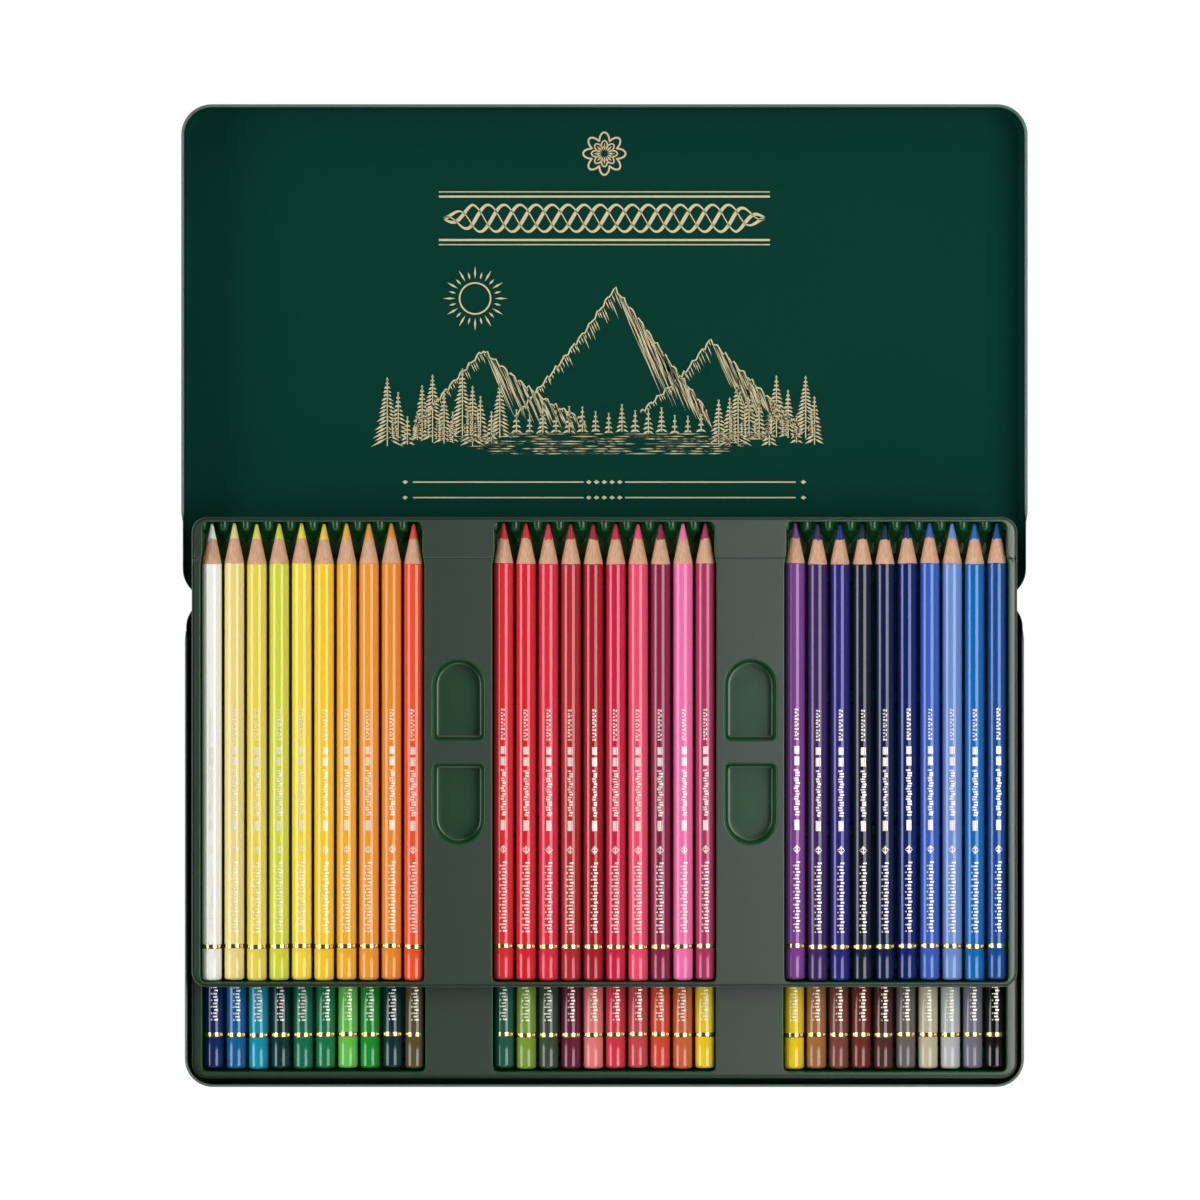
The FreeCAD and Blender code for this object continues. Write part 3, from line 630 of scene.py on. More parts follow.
def bay_lines(bars):
    """Grid lines of a bay, x and y: crowded at the walls, bars and pads, and sparse between them."""
    near = np.array([-LAND_MARGIN, *BAY_INSETS, 2.3, 3.0])
    off = np.array([-3.7, -3.0, -2.1, -1.1, 0.0, 1.1, 2.1, 3.0, 3.7, 4.3])
    across = (PENCIL_PLACES[:, None] + off).ravel()
    across = across[np.abs(across) < BAY_HALF[0] - 3.2]
    xs = np.unique(np.round(np.concatenate([near - BAY_HALF[0], across, BAY_HALF[0] - near]), 3))
    edge = np.array([-3.5, -3.2, -2.9, -2.5, -1.9, 0.0, 1.9, 2.5, 2.9, 3.2, 3.5])
    pads = BAY_HALF[1] - PAD_DEPTH + np.array([-3.8, -2.8, -1.8, -1.0, -0.5, -0.2, 0.1, 0.5, 0.9])
    fold = np.linspace(PINCH_FROM - 1.0, PINCH_TO + 1.0, 9)
    plain = np.linspace(-82.0, 82.0, 15)
    ends = (near - BAY_HALF[1], BAY_HALF[1] - near)
    ys = np.concatenate([*ends, (bars[:, None] + edge).ravel(), pads, fold, plain])
    ys = np.unique(np.round(ys, 3))
    return xs, ys[np.concatenate([[True], np.diff(ys) > 0.03])]


def pad_height(x, y):
    """Height of the pads that part the tips: a dome in each gap, which runs out in a pointed keel.

    Across, a pad falls as 1 minus a power of the distance from its middle. Its half width and its
    crest follow the distance from the rear wall.
    """
    from_end = BAY_HALF[1] - y
    from_middle = np.abs(x - np.round(x / PENCIL_PITCH) * PENCIL_PITCH)
    steps = (0.0, 1.2, 3.2, PAD_DEPTH - 0.3, PAD_DEPTH + 0.1, PAD_DEPTH + 0.5, PAD_DEPTH + PAD_KEEL)
    half = np.interp(from_end, steps, (3.9, 3.8, 3.7, 3.5, 2.9, 2.2, 0.3))
    drop = np.interp(from_end, steps, (0.0, 0.0, 0.4, 1.5, 2.4, 3.0, PAD_CREST - 1.4))
    power = np.where(from_end < PAD_DEPTH, 2.6, 1.3)
    share = (1.0 - np.minimum(from_middle / half, 1.0) ** power) * (from_end < PAD_DEPTH + PAD_KEEL - 0.1)
    return TRAY_PLASTIC + (PAD_CREST - drop - TRAY_PLASTIC) * share


def round_corners(x, y):
    """Bends each corner square of a bay to a quarter disc: x to x * sqrt(1 - y * y / 2), y likewise."""
    corner = BAY_CORNER + LAND_MARGIN
    flat_x, flat_y = BAY_HALF[0] + LAND_MARGIN - corner, BAY_HALF[1] + LAND_MARGIN - corner
    u = np.clip((np.abs(x) - flat_x) / corner, 0.0, 1.0)
    v = np.clip((np.abs(y) - flat_y) / corner, 0.0, 1.0)
    bent = (u > 0) & (v > 0)
    bent_x = np.sign(x) * (flat_x + corner * u * np.sqrt(1 - v * v / 2))
    bent_y = np.sign(y) * (flat_y + corner * v * np.sqrt(1 - u * u / 2))
    return np.where(bent, bent_x, x), np.where(bent, bent_y, y)


def bay_patch(bay_x, pinch):
    """One bay as a grid: its walls, the floor, the bars and the pads that part the tips.

    Height is the floor raised by the bars' S-shaped sides, or the pads where they are higher, and
    the walls rise over both by the distance from the nearest edge. pinch draws the sides in over the
    tips, where the pencils taper.
    """
    bars = np.array(BAR_SHARES) * 2 * BAY_HALF[1]
    x, y = np.meshgrid(*bay_lines(bars))
    inside = np.minimum(BAY_HALF[0] - np.abs(x), BAY_HALF[1] - np.abs(y))
    height = np.full(x.shape, TRAY_PLASTIC)
    for bar in bars:
        rise = 1.0 - ease(np.abs(y - bar), BAR_HALF - 1.0, BAR_HALF + 0.4)
        height += (scallop(x) - TRAY_PLASTIC) * rise
    height = np.maximum(height, pad_height(x, y))
    height = np.maximum(height, TRAY_TOP - np.interp(inside, BAY_INSETS, BAY_FALLS))
    x, y = round_corners(x, y)
    squeeze = pinch * ease(y, PINCH_FROM, PINCH_TO) * ease(np.abs(x), BAY_HALF[0] - 4.3, BAY_HALF[0] - 1.0)
    x = x - np.sign(x) * squeeze
    points = np.stack([x + bay_x, y, height], axis=-1)
    return points, squares(points), 1


def grid_edge(points):
    """The outer points of a grid, once round, counterclockwise."""
    return np.concatenate([points[0, :-1], points[:-1, -1], points[-1, :0:-1], points[:0:-1, 0]])


def well_patch(well_x, flip):
    """One finger well: a D with its flat end to the middle of the tray.

    Each stretch of the D turns about a point or slides along a side: (angle, radius, x, y). Rings at
    a growing inset from it go over the bevel, down the wall and round the bottom. The floor is all
    but flat: it rises towards its centre by 1 minus the square of the distance from it.
    """
    round_y = WELL_HALF[1] - WELL_HALF[0]
    wide, low = WELL_HALF[0] - WELL_CORNER, WELL_CORNER - WELL_HALF[1]
    up = np.linspace(low, round_y, 4)[1:-1]
    stretches = (
        (np.linspace(0.0, 180.0, 37), WELL_HALF[0], 0.0, round_y),
        (180.0, WELL_CORNER, -wide, up[::-1]),
        (np.linspace(180.0, 270.0, 7), WELL_CORNER, -wide, low),
        (270.0, WELL_CORNER, np.linspace(-wide, wide, 6)[1:-1], low),
        (np.linspace(270.0, 360.0, 7), WELL_CORNER, wide, low),
        (360.0, WELL_CORNER, wide, up),
    )
    rows = [np.stack(np.broadcast_arrays(*stretch), axis=-1) for stretch in stretches]
    angle, radius, centre_x, centre_y = np.concatenate(rows).T
    centre = np.stack([centre_x, centre_y], axis=1)
    direction = np.stack([np.cos(np.radians(angle)), np.sin(np.radians(angle))], axis=1)
    rings = centre + (radius - np.array(WELL_INSETS)[:, None])[..., None] * direction
    share = np.linspace(1.0, 0.0, 8)[1:]
    rings = np.concatenate([rings, rings[-1] * share[:, None, None]])
    dome = WELL_DOME * (1.0 - share**2) - WELL_FALLS[-1]
    level = TRAY_TOP + np.concatenate([-np.array(WELL_FALLS), dome])
    height = np.broadcast_to(level[:, None, None], rings.shape[:2] + (1,))
    points = np.concatenate([rings, height], axis=-1)
    points[..., 1] = flip * (points[..., 1] + WELL_CENTRE)
    points[..., 0] += well_x
    wall, bottom = points[:9], points[8:]
    return [(wall, squares(wall, True), 1), (bottom, squares(bottom, True), 2)]


def tray_sheet(half, middle_y, bottom, pinch):
    """The upper face of a whole tray: edge, lands, bays and wells, as patches that share edges.

    The edge profile is a lip, a shallow gutter inside it and a skirt that hangs down outside. The
    lands are the flat area between, cut into triangles with the bays and wells left out.
    """
    centre, direction = outline(half, TRAY_CORNER, step=4.0, turn=10)
    inset = np.array(EDGE_INSETS)[:, None] + np.zeros(len(centre))
    edge = carried(centre, direction, TRAY_CORNER, inset, TRAY_TOP - np.array(EDGE_FALLS)[:, None])
    patches = [(edge, squares(edge, True), 0)]
    loops = [edge[0]]
    for place in (-1, 0, 1):
        bay = bay_patch(place * BAY_PITCH, pinch)
        patches.append(bay)
        loops.append(grid_edge(bay[0]))
    for place in (-1, 1):
        for flip in (-1, 1):
            well = well_patch(place * BAY_PITCH / 2, flip)
            patches += well
            loops.append(well[0][0][0])
    lands = tessellate_polygon([[Vector((*point[:2], 0.0)) for point in loop] for loop in loops])
    patches.append((np.concatenate(loops), np.array(lands), 0))
    moved = np.array([0.0, middle_y, bottom])
    return [(points + moved, faces, number) for points, faces, number in patches]


def formed_polystyrene(name, dark, light, roughness, grain_strength, specular):
    """Vacuum formed high-impact polystyrene, dyed dark green in the mass.

    The lands keep the fine matt grain of the sheet, about 0.35 mm, and look grey green where they
    catch the light. The stretched walls, bars and pads are smooth and glossy, and are painted a
    brighter, fuller green than the lands, as painted light for the bright green of the deep parts.
    The well floors are painted a tone between the two.
    """
    sockets = {"Roughness": roughness, "IOR": 1.55, "Specular IOR Level": specular}
    grain = (0.35, 2.0, grain_strength, 0.06)
    return finish_of(name, sockets, tones=(25.0, 2.0, dark, light), relief=grain)[0]


# One sheet in three painted tones: the darker grey green lands, and the brighter green walls, bars and pads,
# with the middle tone of the well floors, are painted light, not a change in the dye.
tray_finishes = [
    formed_polystyrene("grained_green_polystyrene", "#142c1b", "#17301e", 0.37, 0.2, 0.95),
    formed_polystyrene("glossy_polystyrene_painted_brighter_green", "#0a4a22", "#0c5226", 0.26, 0.0, 0.5),
    formed_polystyrene("satin_polystyrene_painted_midtone", "#114425", "#144a29", 0.34, 0.1, 0.7),
]
lower_sheet = tray_sheet(LOWER_TRAY_HALF, 0.0, LOWER_TRAY_BOTTOM, 0.0)
lower_tray = piece("formed_lower_tray", lower_sheet, tray_finishes, facing=(0, 0, 1))
give_thickness(lower_tray, FORMED_WALL, -1.0)
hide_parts("lower_tray")
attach(lower_tray, "lower_tray")

# Upper tray and its rear flap
# The same forming in the same sheet, a little smaller. Across its rear a crease is cut nearly
# through, which makes a living hinge: the strip behind it bends down as a flap, and the sides of
# the bays draw in there in a short S.

UPPER_TRAY_HALF = (158.0, 90.0)
UPPER_TRAY_MIDDLE = 35.2
UPPER_TRAY_BOTTOM = 14.7
UPPER_PINCH = 0.8
CREASE_Y = 109.3
CREASE_SLIT = 0.2
FLAP_LEAN = 0.12
LEAN_REACH = 4.0


def lean_back(points, crease):
    """Moves a flap's points, in metres, to the rear by a share of their depth below its top.

    The share is full at the crease and at the rear walls of the bays and fades out over 4 mm, so
    that the flap has room to fold down, clear of the tray and of the tips.
    """
    y = points[:, 1] * 1000.0
    rear = UPPER_TRAY_MIDDLE + BAY_HALF[1] + LAND_MARGIN
    near = np.clip(1.0 - (y - crease) / LEAN_REACH, 0.0, 1.0)
    far = np.clip(1.0 - (rear - y) / LEAN_REACH, 0.0, 1.0) * (y < rear)
    depth = (UPPER_TRAY_BOTTOM + TRAY_TOP) * 0.001 - points[:, 2]
    points[:, 1] += FLAP_LEAN * (near + far) * depth


def part_of(made, name, crease, keep):
    """A copy of a sheet, cut along a line across it; keep is 1 for the part behind it, -1 before."""
    mesh = made.data.copy()
    work = bmesh.new()
    work.from_mesh(mesh)
    bmesh.ops.bisect_plane(
        work,
        geom=list(work.verts) + list(work.edges) + list(work.faces),
        plane_co=(0.0, crease * 0.001, 0.0),
        plane_no=(0.0, float(keep), 0.0),
        clear_inner=True,
        dist=1e-7,
    )
    work.to_mesh(mesh)
    work.free()
    if keep > 0:
        flat = np.zeros(len(mesh.vertices) * 3)
        mesh.vertices.foreach_get("co", flat)
        lean_back(flat.reshape(-1, 3), crease)
        mesh.vertices.foreach_set("co", flat)
    mesh.set_sharp_from_angle(angle=math.radians(40.0))
    part = bpy.data.objects.new(name, mesh)
    bpy.context.scene.collection.objects.link(part)
    return part


upper_sheet = tray_sheet(UPPER_TRAY_HALF, UPPER_TRAY_MIDDLE, UPPER_TRAY_BOTTOM, UPPER_PINCH)
whole_sheet = piece("whole_upper_sheet", upper_sheet, tray_finishes, facing=(0, 0, 1))
for name, line, keep, node_name in (
    ("formed_upper_tray", CREASE_Y, -1, "upper_tray"),
    ("formed_rear_flap", CREASE_Y + CREASE_SLIT, 1, "upper_tray_flap"),
):
    part = part_of(whole_sheet, name, line, keep)
    give_thickness(part, FORMED_WALL, -1.0)
    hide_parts(node_name)
    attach(part, node_name)
bpy.data.objects.remove(whole_sheet)

# Pencils
# Round pencils of incense cedar around a wax and oil lead, lacquered in the colour of the lead and
# sharpened to a cone that bares the wood. A ring of gold foil is rolled on near the heel, and a row
# of small foil ornaments is stamped along the barrel.

PENCIL_LENGTH = 175.0
PENCIL_RADIUS = 3.8
CONE_LENGTH = 15.4
CONE_START = PENCIL_LENGTH - CONE_LENGTH
LEAD_BARED = 5.9
TIP_RADIUS = 0.5
HEEL_ROUND = 1.1
RING_FROM_HEEL = 13.0
RING_WIDTH = 1.7
LACQUER_EDGE = 0.12
AROUND = 32
UPPER_HEEL = UPPER_TRAY_MIDDLE - PENCIL_LENGTH / 2
UPPER_AXIS = UPPER_TRAY_BOTTOM + AXIS_HEIGHT
LOWER_HEEL = -87.0
LOWER_AXIS = LOWER_TRAY_BOTTOM + AXIS_HEIGHT

UPPER_COLOURS = {
    "left": (
        ("ivory_white", "#f4f1ea"), ("pale_cream", "#ecd984"), ("light_yellow", "#e8d452"),
        ("lime_yellow", "#d2d63c"), ("lemon_yellow", "#f4d83f"), ("sun_yellow", "#f5ca28"),
        ("golden_yellow", "#f0b028"), ("saffron", "#ee982c"), ("apricot", "#ea8a26"),
        ("orange_red", "#ee5228"),
    ),
    "middle": (
        ("poppy_red", "#de2a30"), ("signal_red", "#da1f30"), ("rose_red", "#dc2a44"),
        ("brick_crimson", "#b4262e"), ("wine_red", "#aa1826"), ("ruby", "#cc1f42"),
        ("coral_pink", "#ee4a6c"), ("dark_magenta", "#8c1e48"), ("light_pink", "#f56fa8"),
        ("mulberry", "#b0305e"),
    ),
    "right": (
        ("violet", "#7c3f90"), ("dark_violet", "#3e2560"), ("blue_violet", "#26247a"),
        ("blue_black", "#101a30"), ("deep_indigo", "#0b1a46"), ("ultramarine", "#041f68"),
        ("sky_ultramarine", "#345ebc"), ("pale_blue", "#6c8ecc"), ("cyan_blue", "#0468b4"),
        ("middle_blue", "#0c4a94"),
    ),
}
LOWER_COLOURS = {
    "left": (
        ("prussian_blue", "#0a2860"), ("teal_blue", "#08629c"), ("turquoise", "#0894b0"),
        ("deep_pine", "#063432"), ("sea_green", "#0c7050"), ("emerald", "#0a7a48"),
        ("apple_green", "#64c44c"), ("grass_green", "#10902e"), ("dark_cobalt_green", "#0a3234"),
        ("olive_brown", "#5c5030"),
    ),
    "middle": (
        ("fir_green", "#1e5c4a"), ("may_green", "#7c9e30"), ("sage_grey", "#3c4c3a"),
        ("burgundy", "#6c1c38"), ("salmon", "#e67c78"), ("raspberry", "#d63444"),
        ("old_rose", "#c8484c"), ("vermilion", "#d44a30"), ("terracotta", "#cc6436"),
        ("chrome_yellow", "#eecb1c"),
    ),
    "right": (
        ("cadmium_yellow", "#eecb18"), ("light_ochre", "#a26c38"), ("chestnut", "#7c4438"),
        ("red_brown", "#702c22"), ("umber", "#522a2a"), ("warm_grey", "#66625c"),
        ("light_warm_grey", "#c0b69a"), ("silver_grey", "#b6baba"), ("cool_grey", "#70707e"),
        ("black", "#0c0a0c"),
    ),
}


def barrel_lacquer(name, colour):
    """Cellulose lacquer in many thin coats: full colour and glossy, with faint ripples along it.

    The pencils are pushed through the lacquer lengthwise, so the ripples are stretched along y.
    """
    sockets = {"Base Color": linear(colour), "IOR": 1.5, "Coat Weight": 0.25, "Coat Roughness": 0.05}
    made, tree, shader, place = finish_of("cellulose_lacquer_" + name, sockets)
    stretched = {"Vector": place, "Scale": (900.0, 60.0, 900.0)}
    along = add_node(tree, "ShaderNodeMapping", sockets=stretched).outputs[0]
    spread = {"Vector": along, "Scale": 1.0, "Detail": 1.0}
    ripple = add_node(tree, "ShaderNodeTexNoise", sockets=spread).outputs["Fac"]
    gloss = add_node(tree, "ShaderNodeMapRange", sockets={0: ripple, 3: 0.1, 4: 0.16})
    tree.links.new(gloss.outputs[0], shader.inputs["Roughness"])
    raised = {"Height": ripple, "Strength": 0.06, "Distance": 0.00002}
    bump = add_node(tree, "ShaderNodeBump", sockets=raised)
    tree.links.new(bump.outputs["Normal"], shader.inputs["Normal"])
    return made


def wax_lead(name, colour):
    """Wax and oil lead, cut by the sharpener: even colour, dull sheen, turning marks of 0.5 mm."""
    sockets = {"Base Color": linear(colour), "Roughness": 0.42, "IOR": 1.45}
    return finish_of("wax_lead_" + name, sockets, relief=(0.5, 2.0, 0.3, 0.08))[0]


def incense_cedar():
    """Incense cedar, cut clean by the sharpener: warm tan with darker grain lines 0.5 mm apart.

    The grain runs along the pencil, so the noise is stretched along y.
    """
    made, tree, shader, place = finish_of("sharpened_incense_cedar", {"Roughness": 0.55, "IOR": 1.5})
    stretched = {"Vector": place, "Scale": (1800.0, 130.0, 1800.0)}
    along = add_node(tree, "ShaderNodeMapping", sockets=stretched).outputs[0]
    spread = {"Vector": along, "Scale": 1.0, "Detail": 3.0}
    grain = add_node(tree, "ShaderNodeTexNoise", sockets=spread).outputs["Fac"]
    tone = add_node(tree, "ShaderNodeValToRGB", sockets={"Fac": grain})
    for stop, share, colour in zip(tone.color_ramp.elements, (0.32, 0.68), ("#c4916f", "#dcb08d")):
        stop.position = share
        stop.color = linear(colour)
    tree.links.new(tone.outputs["Color"], shader.inputs["Base Color"])
    raised = {"Height": grain, "Strength": 0.15, "Distance": 0.00005}
    bump = add_node(tree, "ShaderNodeBump", sockets=raised)
    tree.links.new(bump.outputs["Normal"], shader.inputs["Normal"])
    return made


def stamped_foil(name, colour, roughness, metal):
    """Hot stamped foil: a bright skin with a slightly uneven press. The pale one is mostly pigment."""
    made, tree, shader, place = finish_of(name, {"Base Color": linear(colour), "Metallic": metal})
    spread = {"Vector": place, "Scale": 1000 / 0.6, "Detail": 2.0}
    press = add_node(tree, "ShaderNodeTexNoise", sockets=spread).outputs["Fac"]
    unevenness = {0: press, 3: roughness - 0.06, 4: roughness + 0.08}
    gloss = add_node(tree, "ShaderNodeMapRange", sockets=unevenness)
    tree.links.new(gloss.outputs[0], shader.inputs["Roughness"])
    return made


cedar = incense_cedar()
gold_foil = stamped_foil("rolled_gold_foil", "#ecd490", 0.2, 1.0)
pale_foil = stamped_foil("stamped_pale_foil", "#f2ebda", 0.4, 0.35)


def turned(along, radius, wobble=0.0):
    """A profile turned about the pencil's axis: rows at a distance from the heel, with a radius.

    wobble moves the points of a row along the axis, for the uneven edges that sharpening leaves.
    The first row and the last shut the shape when their radius is 0.
    """
    angle = once_round(AROUND)
    along = np.reshape(along, (-1, 1)) + wobble + 0.0 * angle
    radius = np.reshape(radius, (len(along), -1))
    return np.stack([radius * np.sin(angle), along, radius * np.cos(angle)], axis=-1)


def cone_radius(along):
    """Radius of the sharpened cone at a distance from the heel."""
    return TIP_RADIUS + (PENCIL_RADIUS - TIP_RADIUS) * (PENCIL_LENGTH - along) / CONE_LENGTH


def uneven_edge(random, size):
    """Chance shifts round a row, each the sum of three neighbouring draws, so they change gently."""
    draws = random.normal(0.0, size, AROUND)
    return draws + np.roll(draws, 1) + np.roll(draws, 2)


def heel_and_ring():
    """The heel, rounded by a quarter circle, and the gold ring, which stands 0.03 mm proud."""
    turn = np.radians(np.linspace(0.0, 90.0, 8))
    heel_along = HEEL_ROUND * (1.0 - np.cos(turn))
    heel_radius = PENCIL_RADIUS - HEEL_ROUND * (1.0 - np.sin(turn))
    along = np.concatenate([[0.0], heel_along, [4.0, RING_FROM_HEEL - RING_WIDTH / 2]])
    heel = turned(along, np.concatenate([[0.0], heel_radius, [PENCIL_RADIUS, PENCIL_RADIUS]]))
    ring_along = RING_FROM_HEEL + RING_WIDTH * np.array([-0.5, -0.47, -0.2, 0.2, 0.47, 0.5])
    ring = turned(ring_along, PENCIL_RADIUS + np.array([0.0, 0.02, 0.03, 0.03, 0.02, 0.0]))
    return [(heel, squares(heel, True), 0), (ring, squares(ring, True), 3)]


def barrel_and_cone(random):
    """The lacquered barrel, the bared wood and the lead, which share their uneven edges.

    The lacquer's edge dips by 0.12 mm to the wood. On the cone the radius follows each moved point.
    """
    lacquer_end = uneven_edge(random, 0.09) / 3
    cut = uneven_edge(random, 0.28) / 2
    along = (RING_FROM_HEEL + RING_WIDTH / 2, 60.0, 110.0, CONE_START - 0.6, CONE_START - 0.15, CONE_START)
    wobble = np.zeros((6, AROUND))
    wobble[-1] = lacquer_end
    barrel = turned(along, PENCIL_RADIUS - np.array([0.0, 0.0, 0.0, 0.0, 0.02, LACQUER_EDGE]), wobble)
    wood_along = np.concatenate([[CONE_START], np.linspace(CONE_START + 0.5, PENCIL_LENGTH - LEAD_BARED, 6)])
    wobble = np.zeros((7, AROUND))
    wobble[0], wobble[-1] = lacquer_end, cut
    wood_radius = cone_radius(wood_along[:, None] + wobble)
    wood_radius[0] = PENCIL_RADIUS - LACQUER_EDGE
    wood = turned(wood_along, wood_radius, wobble)
    tip = PENCIL_LENGTH - np.array([LEAD_BARED / 2, 1.2, 0.35, 0.1, 0.0, 0.0])
    tip_radius = np.concatenate([cone_radius(tip[:2]), [0.56, 0.42, 0.24, 0.0]])
    lead = np.concatenate([wood[-1:], turned(tip, tip_radius)])
    return [(points, squares(points, True), number) for number, points in enumerate((barrel, wood, lead))]


def foil_marks(angles, starts, lengths, width):
    """Small stamped bars on the barrel: each is a strip 0.02 mm above it, wrapped over its angle."""
    starts, angles = np.asarray(starts), np.broadcast_to(angles, np.shape(starts))
    turn = np.linspace(-0.5, 0.5, 3)[None, :] * width / PENCIL_RADIUS + angles[:, None]
    ends = starts[:, None] + np.stack([np.zeros(len(starts)), np.broadcast_to(lengths, len(starts))], axis=1)
    reach = PENCIL_RADIUS + 0.02
    shape = (len(starts), 2, 3)
    x = np.broadcast_to((reach * np.sin(turn))[:, None, :], shape)
    z = np.broadcast_to((reach * np.cos(turn))[:, None, :], shape)
    y = np.broadcast_to(ends[:, :, None], shape)
    number = np.arange(len(starts) * 6).reshape(shape)
    faces = np.stack([number[:, 0, :-1], number[:, 0, 1:], number[:, 1, 1:], number[:, 1, :-1]], axis=-1)
    return np.stack([x, y, z], axis=-1).reshape(-1, 3), faces.reshape(-1, 4), 4


def stamped_row(random):
    """The row of ornaments: two lines of short dashes, blocks, a chain of bars, a lozenge and a comb."""
    patches = []
    for angle, pitch, width in ((-0.08, 1.25, 0.8), (0.14, 1.85, 0.45)):
        places = np.arange(92.0, 104.0, pitch)
        patches.append(foil_marks(angle, places, random.uniform(0.5, 0.9, len(places)), width))
    for start, length in ((86.6, 2.9), (82.2, 3.3), (57.4, 3.9)):
        patches.append(foil_marks(0.04, [start], length, 1.9))
    places = np.arange(63.0, 80.6, 1.0)
    lengths = random.uniform(0.5, 0.8, len(places))
    patches.append(foil_marks(0.05 + 0.1 * np.sin(places * 1.7), places, lengths, random.uniform(1.1, 1.7)))
    for count, wide in enumerate((0.5, 1.3, 2.1, 2.9, 2.1, 1.3, 0.5)):
        patches.append(foil_marks(0.05, [48.5 + 0.45 * count], 0.42, wide))
    places = np.arange(18.5, 45.0, 1.25)
    teeth = np.where(np.arange(len(places)) % 3 == 0, 0.2, 0.08)
    patches.append(foil_marks(teeth, places, 0.6, 1.5))
    patches.append(foil_marks(-0.26, places[::2], 0.5, 0.55))
    return patches


def pencil(name, colour, seed, place, heel, axis):
    """One pencil, rolled about its axis and slipped along its bay by a chance amount."""
    random = np.random.default_rng(seed)
    patches = heel_and_ring() + barrel_and_cone(random) + stamped_row(random)
    roll, slip = random.uniform(-0.12, 0.12), random.uniform(-0.25, 0.25)
    moved = []
    for points, faces, number in patches:
        points = np.reshape(points, (-1, 3))
        x = points[:, 0] * math.cos(roll) + points[:, 2] * math.sin(roll)
        z = points[:, 2] * math.cos(roll) - points[:, 0] * math.sin(roll)
        moved.append((np.stack([x + place, points[:, 1] + heel + slip, z + axis], axis=1), faces, number))
    finishes = [barrel_lacquer(*colour), cedar, wax_lead(*colour), gold_foil, pale_foil]
    return piece(name, moved, finishes, smooth_below=35.0)


for side, bay in (("left", -1), ("middle", 0), ("right", 1)):
    for count, from_middle in enumerate(PENCIL_PLACES):
        across = bay * BAY_PITCH + from_middle
        label = f"{side}_{count + 1:02d}"
        seed = 100 * (bay + 2) + count
        colour = UPPER_COLOURS[side][count]
        above = pencil("color_pencil_" + label, colour, seed, across, UPPER_HEEL, UPPER_AXIS)
        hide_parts("pencil_" + label)
        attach(above, "pencil_" + label)
        colour = LOWER_COLOURS[side][count]
        below = pencil("lower_color_pencil_" + label, colour, seed + 500, across, LOWER_HEEL, LOWER_AXIS)
        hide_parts(f"lower_{side}_pencils")
        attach(below, "lower_tray")

# Floor, light and camera
# A plain pale floor, a dim room that is dark overhead, and two soft boxes whose reflections run along
# the pencils: one low at the left, one higher at the right. Two weaker ones fill from the front and
# the rear. The camera looks straight down.

FLOOR_REACH = 4000.0
ROOM_LEVEL = 0.17
OVERHEAD_LEVEL = 0.05
WHITE = (1.0, 1.0, 1.0, 1.0)
AIM_Y = 0.09
LENS_LENGTH = 211.0
CAMERA_PLACE = (-0.0017, 0.0934, 2.72)


def pale_floor():
    """A matt white sheet: it takes the soft shadow, and is lifted to white for the camera."""
    sockets = {"Base Color": linear("#f6f6f6"), "Roughness": 0.9}
    made, tree, shader, place = finish_of("matt_white_backdrop_paper", sockets)
    ray = add_node(tree, "ShaderNodeLightPath").outputs
    greater = {"operation": "MAXIMUM"}
    either = add_node(tree, "ShaderNodeMath", greater, {0: ray["Is Camera Ray"], 1: ray["Is Glossy Ray"]})
    seen = {0: either.outputs[0], 1: ray["Is Transmission Ray"]}
    any_ray = add_node(tree, "ShaderNodeMath", greater, seen).outputs[0]
    share = add_node(tree, "ShaderNodeMath", {"operation": "MULTIPLY"}, {0: any_ray, 1: 0.97}).outputs[0]
    glow = add_node(tree, "ShaderNodeEmission", sockets={"Color": WHITE, "Strength": 1.02}).outputs[0]
    blend = {0: share, 1: shader.outputs["BSDF"], 2: glow}
    mixed = add_node(tree, "ShaderNodeMixShader", sockets=blend)
    output = next(node for node in tree.nodes if node.type == "OUTPUT_MATERIAL")
    tree.links.new(mixed.outputs[0], output.inputs["Surface"])
    return made


floor_x, floor_y = np.meshgrid([-FLOOR_REACH, FLOOR_REACH], [-FLOOR_REACH, FLOOR_REACH])
floor_points = np.stack([floor_x, floor_y, 0.0 * floor_x], axis=-1)
floor = piece("plain_floor", [(floor_points, squares(floor_points), 0)], [pale_floor()], facing=(0, 0, 1))

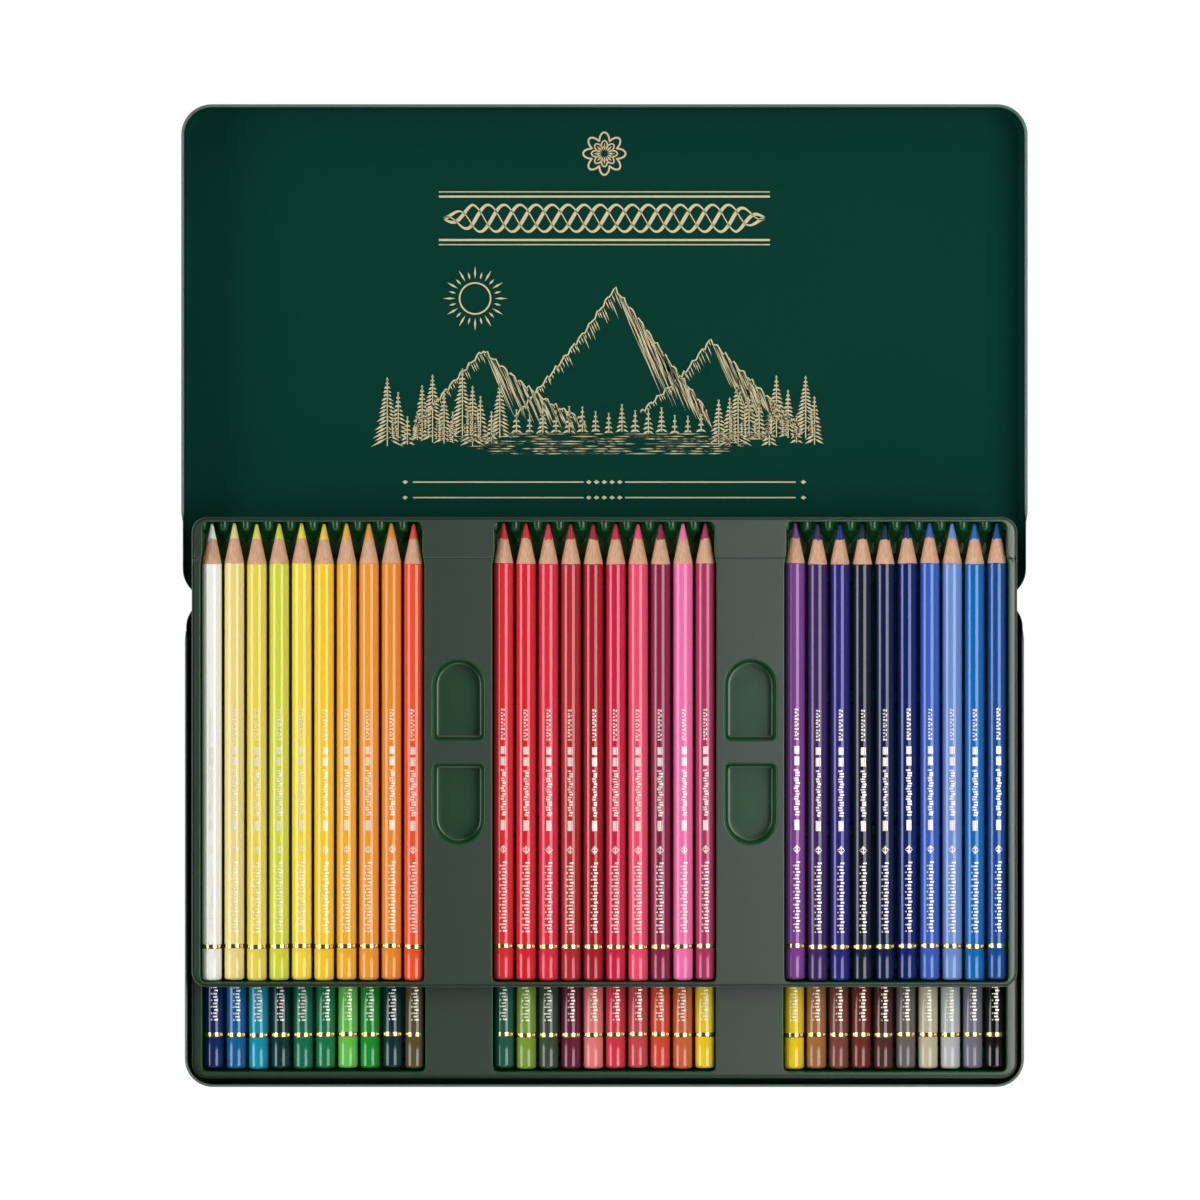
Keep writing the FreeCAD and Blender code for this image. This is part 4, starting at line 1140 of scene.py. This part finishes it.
room = bpy.data.worlds.new("soft_room")
bpy.context.scene.world = room
room.use_nodes = True
room_tree = room.node_tree
room_tree.nodes.clear()
way = add_node(room_tree, "ShaderNodeTexCoord").outputs["Generated"]
upward = add_node(room_tree, "ShaderNodeSeparateXYZ", sockets={0: way}).outputs["Z"]
dimming = {0: upward, 1: 0.72, 2: 0.95, 3: ROOM_LEVEL, 4: OVERHEAD_LEVEL}
level = add_node(room_tree, "ShaderNodeMapRange", {"interpolation_type": "SMOOTHSTEP"}, dimming).outputs[0]
sky = add_node(room_tree, "ShaderNodeBackground", sockets={"Color": WHITE, "Strength": level}).outputs[0]
backdrop = add_node(room_tree, "ShaderNodeBackground", sockets={"Color": WHITE, "Strength": 1.0}).outputs[0]
camera_ray = add_node(room_tree, "ShaderNodeLightPath").outputs["Is Camera Ray"]
world_mix = add_node(room_tree, "ShaderNodeMixShader", sockets={0: camera_ray, 1: sky, 2: backdrop})
add_node(room_tree, "ShaderNodeOutputWorld", sockets={"Surface": world_mix.outputs[0]})


def soft_box(name, from_vertical, turn, distance, width, length, power):
    """A soft box at an angle from vertical, aimed at the tin; turn 0 leans to the right, 90 to the rear."""
    light = bpy.data.lights.new(name, "AREA")
    light.shape = "RECTANGLE"
    light.size = width
    light.size_y = length
    light.energy = power
    lamp = bpy.data.objects.new(name, light)
    bpy.context.scene.collection.objects.link(lamp)
    angle, turn = math.radians(from_vertical), math.radians(turn)
    reach = distance * math.sin(angle)
    lamp.location = (reach * math.cos(turn), AIM_Y + reach * math.sin(turn), distance * math.cos(angle))
    lamp.rotation_euler = (0.0, angle, turn)


soft_box("low_left_box", -60.0, 0.0, 1.5, 0.7, 1.15, 12.0)
soft_box("high_right_box", 30.0, 0.0, 1.15, 0.64, 0.88, 8.3)
soft_box("front_fill", 55.0, -90.0, 2.0, 1.2, 1.4, 7.0)
soft_box("rear_fill", 55.0, 90.0, 2.0, 1.2, 1.4, 7.0)

lens = bpy.data.cameras.new("overhead_lens")
lens.sensor_width = 36.0
lens.lens = LENS_LENGTH
lens.clip_end = 50.0
camera = bpy.data.objects.new("overhead_camera", lens)
bpy.context.scene.collection.objects.link(camera)
camera.location = CAMERA_PLACE
camera.rotation_euler = (0.0, 0.0, 0.0)
bpy.context.scene.camera = camera
bpy.context.scene.view_settings.view_transform = "Standard"
